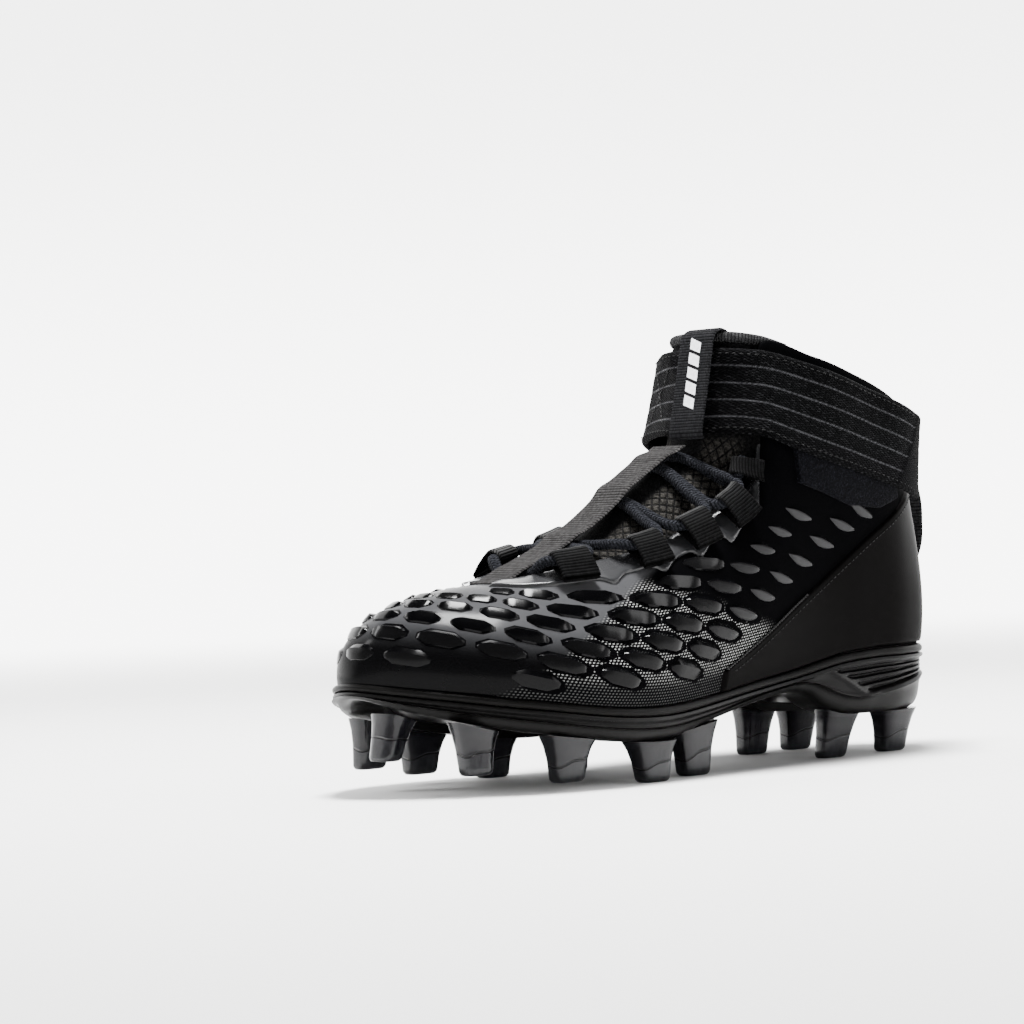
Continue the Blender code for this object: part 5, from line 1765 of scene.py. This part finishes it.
def make_web_loop(level, side):
    """One webbing loop folded round the lace, with thick rounded layers."""
    base, place, half = LOOP_OFF, LOOP_PLACES[level], half_share(level, side)
    widths = edge_steps(5, 0.08)
    body = rounded(widths, 0.08)
    rings_front, rings_back = [], []
    for w, b in zip(widths, body):
        at = place - half + 2 * half * w
        hole = LACE_RADIUS + fold_room(at) - 0.1
        centre, _, down, out = loop_frame(at, side)
        rim = LACE_RADIUS + fold_room(at) + WEBBING + 0.2
        seat = centre - out * (base + LACE_RADIUS + fold_room(at) + WEBBING)
        mid = 0.5 * (hole + rim)
        thin = 0.5 * (rim - hole) * max(b, 0.25)
        tail = seat + down * (LOOP_TAIL * np.linspace(0.12, 1.0, 9))[:, None]
        on, lean = snapped_many(tail)
        end, end_out = on[-1] + lean[-1] * (base + 1.2 + 0.5 * WEBBING), lean[-1]
        first = np.radians(62)
        spoke = down * np.cos(first) + out * np.sin(first)
        top = centre + spoke * mid
        k = np.linspace(0, 1, 9)[:, None]
        cover = end * (1 - k) + top * k
        face_out = end_out * (1 - k) + spoke * k
        cover = cover + face_out * (0.5 * np.sin(np.pi * k))
        inner = list(cover - face_out * thin)
        outer = list(cover + face_out * thin)
        # The fold mask paints a highlight, strongest on the fold's upper outer face.
        fold = list(0.12 * k[:, 0] ** 4)
        for q in np.linspace(first, np.radians(320), 17)[1:]:
            spoke = down * np.cos(q) + out * np.sin(q)
            inner.append(centre + spoke * (mid - thin))
            outer.append(centre + spoke * (mid + thin))
            fold.append(np.exp(-(((np.degrees(q) - 135) / 32) ** 2)))
        for p, n in zip(on, lean):
            inner.append(p + n * (base + 0.6 + thin))
            outer.append(p + n * (base + 0.6 - thin))
            fold.append(0)
        rings_front.append(outer)
        rings_back.append(inner)
    front = np.array(rings_front)
    back = np.array(rings_back)
    run = run_up(front)
    uv = paired(run, (widths * LOOP_WIDTHS[level])[:, None])
    name = SIDES[side]
    fold_highlight = np.broadcast_to(fold, run.shape).ravel()
    tape = piece(
        f"web_loop_{name}_{level + 1}", sheet_solid(front, back), "loop", [f"lace_loop_{name}_{level + 1}"],
        both(uv), {"fold": both(fold_highlight)}, angle=60,
    )


def oval_tube(path, wide, high, sides=14, lean=None):
    """A braided cord along a path, a little flat."""
    along = unit(np.gradient(path, axis=0))
    if lean is None:
        lean = NET_NORMALS[[np.argmin(((NET - p) ** 2).sum(axis=1)) for p in path]]
    up = evened(lean, 8)
    up = unit(up - along * (up * along).sum(axis=1)[:, None])
    side = np.cross(along, up)
    q = np.linspace(0, 2 * np.pi, sides, endpoint=False)
    ring = up[:, None] * (high * np.sin(q))[:, None] + side[:, None] * (wide * np.cos(q))[:, None]
    grid = path[:, None] + ring
    grid = np.concatenate([grid, grid[:, :1]], axis=1)
    uv = paired(run_of(path)[:, None], np.append(q, 2 * np.pi) * 0.5 * (wide + high))
    return grid, uv, grid - path[:, None]


def make_laces():
    """The lace from its two top loops down to the bottom bar, in two halves that cross."""
    first, ended_outer = lace_path(True)
    other = through_loop(0, not ended_outer, True)
    middle = 0.5 * (other[1] + other[2])
    u = 0.5 * (first[-1][1] + other[0][1]) + 2.0
    bar = [under_strip(u) + [10.5, 0, -0.2], under_strip(u) + [-10.5, 0, -0.2]]
    first += bar if ended_outer else bar[::-1]
    first += other[:2]
    first.append(middle - (other[2] - other[1]) * 0.04)
    second, _ = lace_path(False)
    second = second[:-2]
    second.append(middle + (other[2] - other[1]) * 0.04)
    need = LACE_RADIUS + 0.55
    for name, points in (("a", first), ("b", second)):
        path = evened(resample(lifted(fine_path(points), need), 420), 24)
        grid, uv, normals = oval_tube(path, 2.45, 2.15)
        piece(f"lace_{name}", outward_sheet(grid, normals), "lace", ["lace"], uv, angle=80)


SOLE_COLUMNS = 420
MIDDLE_U = 150
# The plate's rounded lower side: share from the wave's crest to the edge, inset.
PLATE_RINGS = [(0.06, 0.9), (0.16, 1.6), (0.32, 2.0), (0.5, 2.3), (0.68, 2.8), (0.82, 3.5), (0.92, 4.3),
               (1.0, 5.6), (1.03, 8.0)]
# The midsole band: share from its rim to its underside, inset.
BAND_RINGS = [(0.0, 9.0), (0.0, 2.6), (0.02, 1.2), (0.12, 0.6), (0.3, 0.15), (0.5, -0.05), (0.72, 0.1),
              (0.9, 0.45), (1.0, 1.1), (1.0, 9.0)]


def from_middle(grid):
    """Level directions from the middle of the footprint."""
    return grid * [1, 1, 0] - [0, MIDDLE_U, 0]


def make_sole():
    """The plate with its ribbed heel sides, wave crest and flowing lower edge."""
    columns = SOLE_COLUMNS
    shares = np.linspace(0, 1, columns, endpoint=False)
    along = outline(shares)[:, 1]
    top = height(along, BAND) - GAP
    crest = height(along, WAVE)
    edge = height(along, EDGE)
    heel = np.clip((84 - along) / 14, 0, 1) * np.clip((along - 3) / 6, 0, 1)
    heel = heel * heel * (3 - 2 * heel)
    rows = []

    def ring(inset, z):
        rows.append(np.column_stack([outline(shares, inset), z]))

    flange = 1.2 * np.exp(-((along / 9.0) ** 2))
    ring(4.0, top + 2.0)
    ring(1.5, top)
    ring(0.4 - flange, top - 0.25)
    ring(0.15 - flange, top - 0.7)
    ring(0.15 - flange, top - 1.3)
    ring(0.5 - 0.5 * flange, top - 1.8)
    z_low = top - 1.8
    for t in np.linspace(0, 1, 46):
        z = z_low + (crest - z_low) * t
        slot = np.zeros(columns)
        for k in range(4):
            centre = 0.14 + 0.235 * k
            near = np.abs(t - centre)
            slot += 1 - smoothstep(near, 0.035, 0.075)
        reach = np.clip((along - 6) / 5, 0, 1) * np.clip((76 - 26 * t - along) / 4, 0, 1)
        tall = np.clip((z_low - crest - 7) / 3, 0, 1)
        inset = 0.9 + 0.25 * t + 3.0 * slot * reach * tall * heel + 1.2 * reach * heel * tall
        lip = 1 - smoothstep(1 - t, 0.0, 0.14)
        ribbon = np.exp(-(((along - 81 + 26 * t) / 2.6) ** 2))
        inset = inset - 1.5 * lip * (1 - 0.3 * heel) - 1.0 * ribbon * tall
        wave = 0.5 * (1 - heel) * np.sin(np.pi * t)
        ring(inset + wave, z)
    for t, inset in PLATE_RINGS:
        ring(inset, crest + (edge - crest) * t)
    ring(20.0, edge)
    recess = edge + np.minimum(4.0, 0.4 * (top - edge))
    ring(21.5, recess)
    grid = np.stack(rows, axis=1)
    m = grid.shape[1]
    uv = paired((shares * PERIMETER)[:, None], run_up(grid))
    points, faces, flipped = tube(grid, from_middle(grid))
    for column, turned in ((0, False), (m - 1, True)):
        for rung in rungs(columns):
            face = tuple(i * m + column for i in rung)
            faces.append(face if turned == flipped else face[::-1])
    piece("plate_body", (points, faces), "plate", ["outsole_plate"], uv, angle=35)


def make_band():
    """The midsole band, with a rounded bulge and a seam under the upper."""
    shares = np.linspace(0, 1, SOLE_COLUMNS, endpoint=False)
    along = outline(shares)[:, 1]
    top = height(along, RIM)
    bottom = height(along, BAND)
    rows = []
    for t, inset in BAND_RINGS:
        rows.append(np.column_stack([outline(shares, inset), top + (bottom - top) * t]))
    grid = np.stack(rows, axis=1)
    uv = paired((shares * PERIMETER)[:, None], run_up(grid))
    shape = outward_sheet(grid, from_middle(grid), closed=True)
    piece("midsole_band", shape, "foam", ["midsole"], uv, angle=50)


# The insole: inset, height above its underside.
SOCK_RINGS = [(6.5, 0.3), (5.6, 1.0), (5.4, 2.2), (5.9, 3.1), (8, 3.45), (14, 3.3), (22, 3.1)]


def make_sock():
    """The insole, dished a little, with a soft edge."""
    shares = stations(90)
    rings = []
    for inset, lift in SOCK_RINGS:
        plan = outline(shares, inset)
        rings.append(np.column_stack([plan, height(plan[:, 1], RIM) + GAP + 0.2 + lift]))
    points, faces = ring_solid(rings)
    sock = piece("sock", (points, faces), "lining", ["insole"], points[:, :2], angle=50)


def ring_solid(rings):
    """A solid from rings of points, closed top and bottom by rungs from side to side."""
    rings = np.array(rings, float)
    r, n = rings.shape[:2]
    faces = [tuple(int(i) for i in q) for q in grid_faces(n, r, True)]
    points = np.swapaxes(rings, 0, 1).reshape(-1, 3)
    for rung in rungs(n):
        faces.append(tuple(i * r + r - 1 for i in rung))
        faces.append(tuple(i * r for i in reversed(rung)))
    p = world(points)
    volume = 0.0
    for face in faces:
        for i in range(1, len(face) - 1):
            volume += np.dot(p[face[0]], np.cross(p[face[i]], p[face[i + 1]]))
    if volume < 0:
        faces = [tuple(reversed(face)) for face in faces]
    return points, faces


STUD_SIDES = 40
# A stud's rounded foot: share of its height, share of the widening to its root, inset.
STUD_FOOT = [(0.0, 0.0, 2.2), (0.0, 0.0, 0.9), (0.012, 0.0, 0.35), (0.04, 0.04, 0.05), (0.08, 0.14, 0)]
# How it widens above that: shares of its height, shares of the widening.
STUD_FLARE = ([0.08, 0.5, 0.78, 1.0], [0.14, 0.34, 0.62, 1.0])


def make_studs():
    """Thirteen blade studs, rounder and smoother than their solids, with a dark curved upper part."""
    for name, x, u, z, length, width, root_length, root_width, lean_x, lean_u in STUDS:
        angles = np.linspace(0, 2 * np.pi, STUD_SIDES, endpoint=False)
        corner = np.stack([np.cos(angles), np.sin(angles)], axis=1)
        squarer = np.sign(corner) * np.abs(corner) ** 0.55
        rows, local = [], []
        steps = STUD_FOOT + [(t, np.interp(t, *STUD_FLARE), 0) for t in np.linspace(0.16, 1.0, 13)]
        for rise, flare, inset in steps:
            half_width = 0.5 * (width + (root_width - width) * flare) - inset
            half_length = 0.5 * (length + (root_length - length) * flare) - inset
            px = x + lean_x * rise + squarer[:, 0] * half_width
            pu = u + lean_u * rise + squarer[:, 1] * half_length
            top = height(pu, EDGE) - 0.1
            pz = z + (top - z) * rise
            rows.append(np.column_stack([px, pu, pz]))
            local.append(np.column_stack([pu - u + 0.5 * (px - x), rise + 0 * pu]))
        grid = np.stack(rows, axis=1)
        m = grid.shape[1]
        points, faces, flipped = tube(grid, grid - np.array([x, u, 10.0]))
        bottom = tuple(i * m for i in range(STUD_SIDES))
        lid = tuple(i * m + m - 1 for i in range(STUD_SIDES))
        faces.append(bottom if not flipped else bottom[::-1])
        faces.append(lid[::-1] if not flipped else lid)
        uv = np.stack(local, axis=1).reshape(-1, 2)
        piece(f"{name}_blade", (points, faces), "stud", [name], uv, angle=45)


def stitches(name, path, normals, pitch=2.6, length=1.7, radius=0.24, material="thread"):
    """A row of stitches: small rounded bars along a path, sunk at their ends."""
    run = run_of(path)
    bars = []
    q = np.linspace(0, 2 * np.pi, 6, endpoint=False)
    for start in np.arange(0.4, run[-1] - length, pitch):
        at = start + length * np.array([0, 0.2, 0.5, 0.8, 1.0])
        centre = np.stack([np.interp(at, run, path[:, i]) for i in range(3)], axis=1)
        up = np.stack([np.interp(at, run, normals[:, i]) for i in range(3)], axis=1)
        along = unit(np.gradient(centre, axis=0))
        side = np.cross(along, up)
        size = radius * np.array([0.5, 0.95, 1.0, 0.95, 0.5])
        lift = radius * np.array([-0.9, 0.2, 0.5, 0.2, -0.9])
        ring = centre[:, None] + up[:, None] * (lift[:, None] + size[:, None] * np.sin(q))[..., None]
        ring = ring + side[:, None] * (size[:, None] * np.cos(q))[..., None]
        grid = np.swapaxes(ring, 0, 1)
        bars.append(outward_sheet(grid, grid - centre, closed=True))
    piece(name, joined(bars), material, angle=80)


# Where the strap's stitched cross starts and ends along it.
CROSS_STITCH = (45, 66)


def add_stitching(strap, direction):
    """Stitch rows: along the counter's edge, round the collar, and the strap's sewn cross."""
    shares = round_heel(COUNTER_FRONT - 6, 400)
    u = outline(shares)[:, 1]
    v = v_at_height(shares[::4], counter_line(u[::4]) - 3.2)
    v = np.interp(shares, shares[::4], v)
    stitches("stitch_counter", upper_offset(shares, v, 1.62), upper_normal(shares, v))
    for side, name in SIDES.items():
        front = along_side(96, COUNTER_FRONT - 1, side, 120)
        v = v_at_height(front, counter_line(outline(front)[:, 1]) + 0.2)
        edge = upper_offset(front, v, 0.9)
        stitches(f"stitch_edge_{name}", edge, upper_normal(front, v), pitch=1.5, length=1.1, radius=0.42,
                 material="edging")
        shares = along_side(8, 100, side, 260)
        v = np.full(len(shares), 0.955)
        stitches(f"stitch_collar_{name}", upper_offset(shares, v, 0.08), upper_normal(shares, v), pitch=3.0)
    skin = strap + direction * 0.42
    turn = run_of(strap)[:, strap.shape[1] // 2]
    near, far = [int(np.argmin(np.abs(turn - at))) for at in CROSS_STITCH]
    n = far - near
    for name, rows in (("x1", np.linspace(8, 52, n)), ("x2", np.linspace(52, 8, n))):
        path = np.array([skin[near + i, int(round(r))] for i, r in enumerate(rows)])
        out = np.array([direction[near + i, int(round(r))] for i, r in enumerate(rows)])
        stitches(f"stitch_strap_{name}", path, out, material="edging")
    for k in (4, 56):
        stitches(f"stitch_strap_row_{k}", skin[4:-6, k], direction[4:-6, k], pitch=3.2)


# The studio.
def make_stage():
    """A pale round floor that runs up into a glowing backdrop, brighter behind the shoe, with a painted
    shadow under the shoe.
    """
    radii = [0.0, 0.3, 0.7, 1.1, 1.6, 2.2, 2.8, 3.2, 3.5, 3.7, 3.8, 3.8]
    rises = [0.0, 0.0, 0.0, 0.0, 0.0, 0.0, 0.05, 0.22, 0.6, 1.2, 2.2, 3.4]
    sides = 72
    q = np.linspace(0, 2 * np.pi, sides, endpoint=False)
    points = [(0, 0, 0)]
    for radius, rise in zip(radii[1:], rises[1:]):
        points += [(radius * np.cos(a), radius * np.sin(a), rise) for a in q]
    faces = [(0, 1 + i, 1 + (i + 1) % sides) for i in range(sides)]
    for r in range(len(radii) - 2):
        for i in range(sides):
            j = (i + 1) % sides
            a, b = 1 + r * sides + i, 1 + r * sides + j
            faces.append((a, a + sides, b + sides, b))
    mesh = bpy.data.meshes.new("floor")
    mesh.from_pydata(points, [], faces)
    mesh.shade_smooth()
    s = Shader("floor_paper", (0.86, 0.86, 0.855), 0.8, Specular_IOR_Level=0.03)
    split = s.node("ShaderNodeSeparateXYZ")
    s.join(s.place(), split.inputs[0])
    x, y, z = split.outputs[0], split.outputs[1], split.outputs[2]
    radius = s.math("SQRT", s.plus(s.math("POWER", x, 2.0), s.math("POWER", y, 2.0)))
    away = s.over(s.plus(s.times(x, BACK[0]), s.times(y, BACK[1])), radius)
    # Painted shadow: the floor's colour darkens to grey in an oval under the shoe, centred a little towards
    # the heel.
    wide = s.math("POWER", s.over(x, 0.062), 2.0)
    long = s.math("POWER", s.over(s.minus(y, 0.02), 0.16), 2.0)
    near = s.math("SQRT", s.plus(wide, long))
    s.colour(s.blend(s.ramp(near, 0.45, 1.2), (0.2, 0.2, 0.2), (0.86, 0.86, 0.855)))
    glow = s.node("ShaderNodeEmission")
    glow.inputs["Color"].default_value = (1.0, 1.0, 0.995, 1)
    level = s.ramp(away, -0.2, 0.55, CAMERA_SIDE, BACK_SIDE)
    grain = s.noise(2.0, 2)
    level = s.plus(level, s.times(s.minus(grain, 0.5), 0.01))
    level = s.times(level, s.ramp(z, 0.1, 0.85, 1.45, 1.0))
    s.join(level, glow.inputs["Strength"])
    mix = s.node("ShaderNodeMixShader")
    s.join(s.ramp(radius, 0.75, 2.0), mix.inputs[0])
    s.join(s.bsdf.outputs[0], mix.inputs[1])
    s.join(glow.outputs[0], mix.inputs[2])
    s.join(mix.outputs[0], s.tree.nodes["Material Output"].inputs["Surface"])
    mesh.materials.append(s.mat)
    floor = bpy.data.objects.new("floor", mesh)
    bpy.context.scene.collection.objects.link(floor)


# The camera in the frame, in degrees and metres.
AZIMUTH, ELEVATION, ROLL = np.radians([49.0266, -0.0794, -2.1417])
TARGET = np.array([-1.753, -78.76, 109.035]) * 0.001
DISTANCE = 1.4
SENSOR = 36.0
# The focal length is 3489.5 pixels of a picture that is 1024 wide.
FOCAL = SENSOR * 3489.5 / 1024
BACK = (-np.sin(AZIMUTH), np.cos(AZIMUTH))
# How bright the backdrop glows on the camera's side and behind the shoe.
CAMERA_SIDE = 1.1
BACK_SIDE = 5.2


def make_camera():
    """The camera, from its turn, rise, roll, aim and distance."""
    level = np.cos(ELEVATION)
    away = np.array([np.sin(AZIMUTH) * level, -np.cos(AZIMUTH) * level, np.sin(ELEVATION)])
    right = unit(np.cross(-away, [0, 0, 1]))
    up = np.cross(right, -away)
    right, up = right * np.cos(ROLL) + up * np.sin(ROLL), up * np.cos(ROLL) - right * np.sin(ROLL)
    data = bpy.data.cameras.new("camera")
    data.sensor_width = SENSOR
    data.lens = FOCAL
    data.clip_end = 20
    camera = bpy.data.objects.new("camera", data)
    place = TARGET + away * DISTANCE
    camera.matrix_world = Matrix([[right[i], up[i], away[i], place[i]] for i in range(3)] + [[0, 0, 0, 1]])
    bpy.context.scene.collection.objects.link(camera)
    bpy.context.scene.camera = camera


def add_light(name, place, aim, size, power, size_y=None):
    """An area light that looks at a point."""
    data = bpy.data.lights.new(name, "AREA")
    data.energy = power
    data.shape = "RECTANGLE"
    data.size = size
    data.size_y = size_y or size
    light = bpy.data.objects.new(name, data)
    direction = Vector(aim) - Vector(place)
    light.location = place
    light.rotation_euler = direction.to_track_quat("-Z", "Y").to_euler()
    bpy.context.scene.collection.objects.link(light)


def make_lights():
    """A dim even surround, a broad light from above and two low ones from the sides."""
    world_data = bpy.data.worlds.new("studio")
    bpy.context.scene.world = world_data
    world_data.use_nodes = True
    world_data.node_tree.nodes["Background"].inputs["Color"].default_value = (1, 1, 1, 1)
    world_data.node_tree.nodes["Background"].inputs["Strength"].default_value = 0.1
    add_light("top", (-0.06, 0.06, 1.3), (0, 0, 0), 0.32, 84, 0.42)
    add_light("left", (-0.9, -0.9, 0.75), (0, -0.05, 0.08), 0.25, 12, 0.5)
    add_light("right", (1.0, 0.55, 0.6), (0, 0.05, 0.08), 0.2, 6, 0.6)


make_camera()
make_stage()
make_lights()
SITES = cell_sites()
make_shell(SITES)
make_cells(SITES)
make_counter()
for outer in SIDES:
    make_eyestay(outer)
make_patch()
make_tongue()
STRAP_SKIN, STRAP_OUT = make_strap()
make_strip()
make_front_tab()
make_heel_loop()
for number in range(len(LOOP_PLACES)):
    for outer in SIDES:
        make_web_loop(number, outer)
make_laces()
make_sole()
make_band()
make_sock()
make_studs()
add_stitching(STRAP_SKIN, STRAP_OUT)
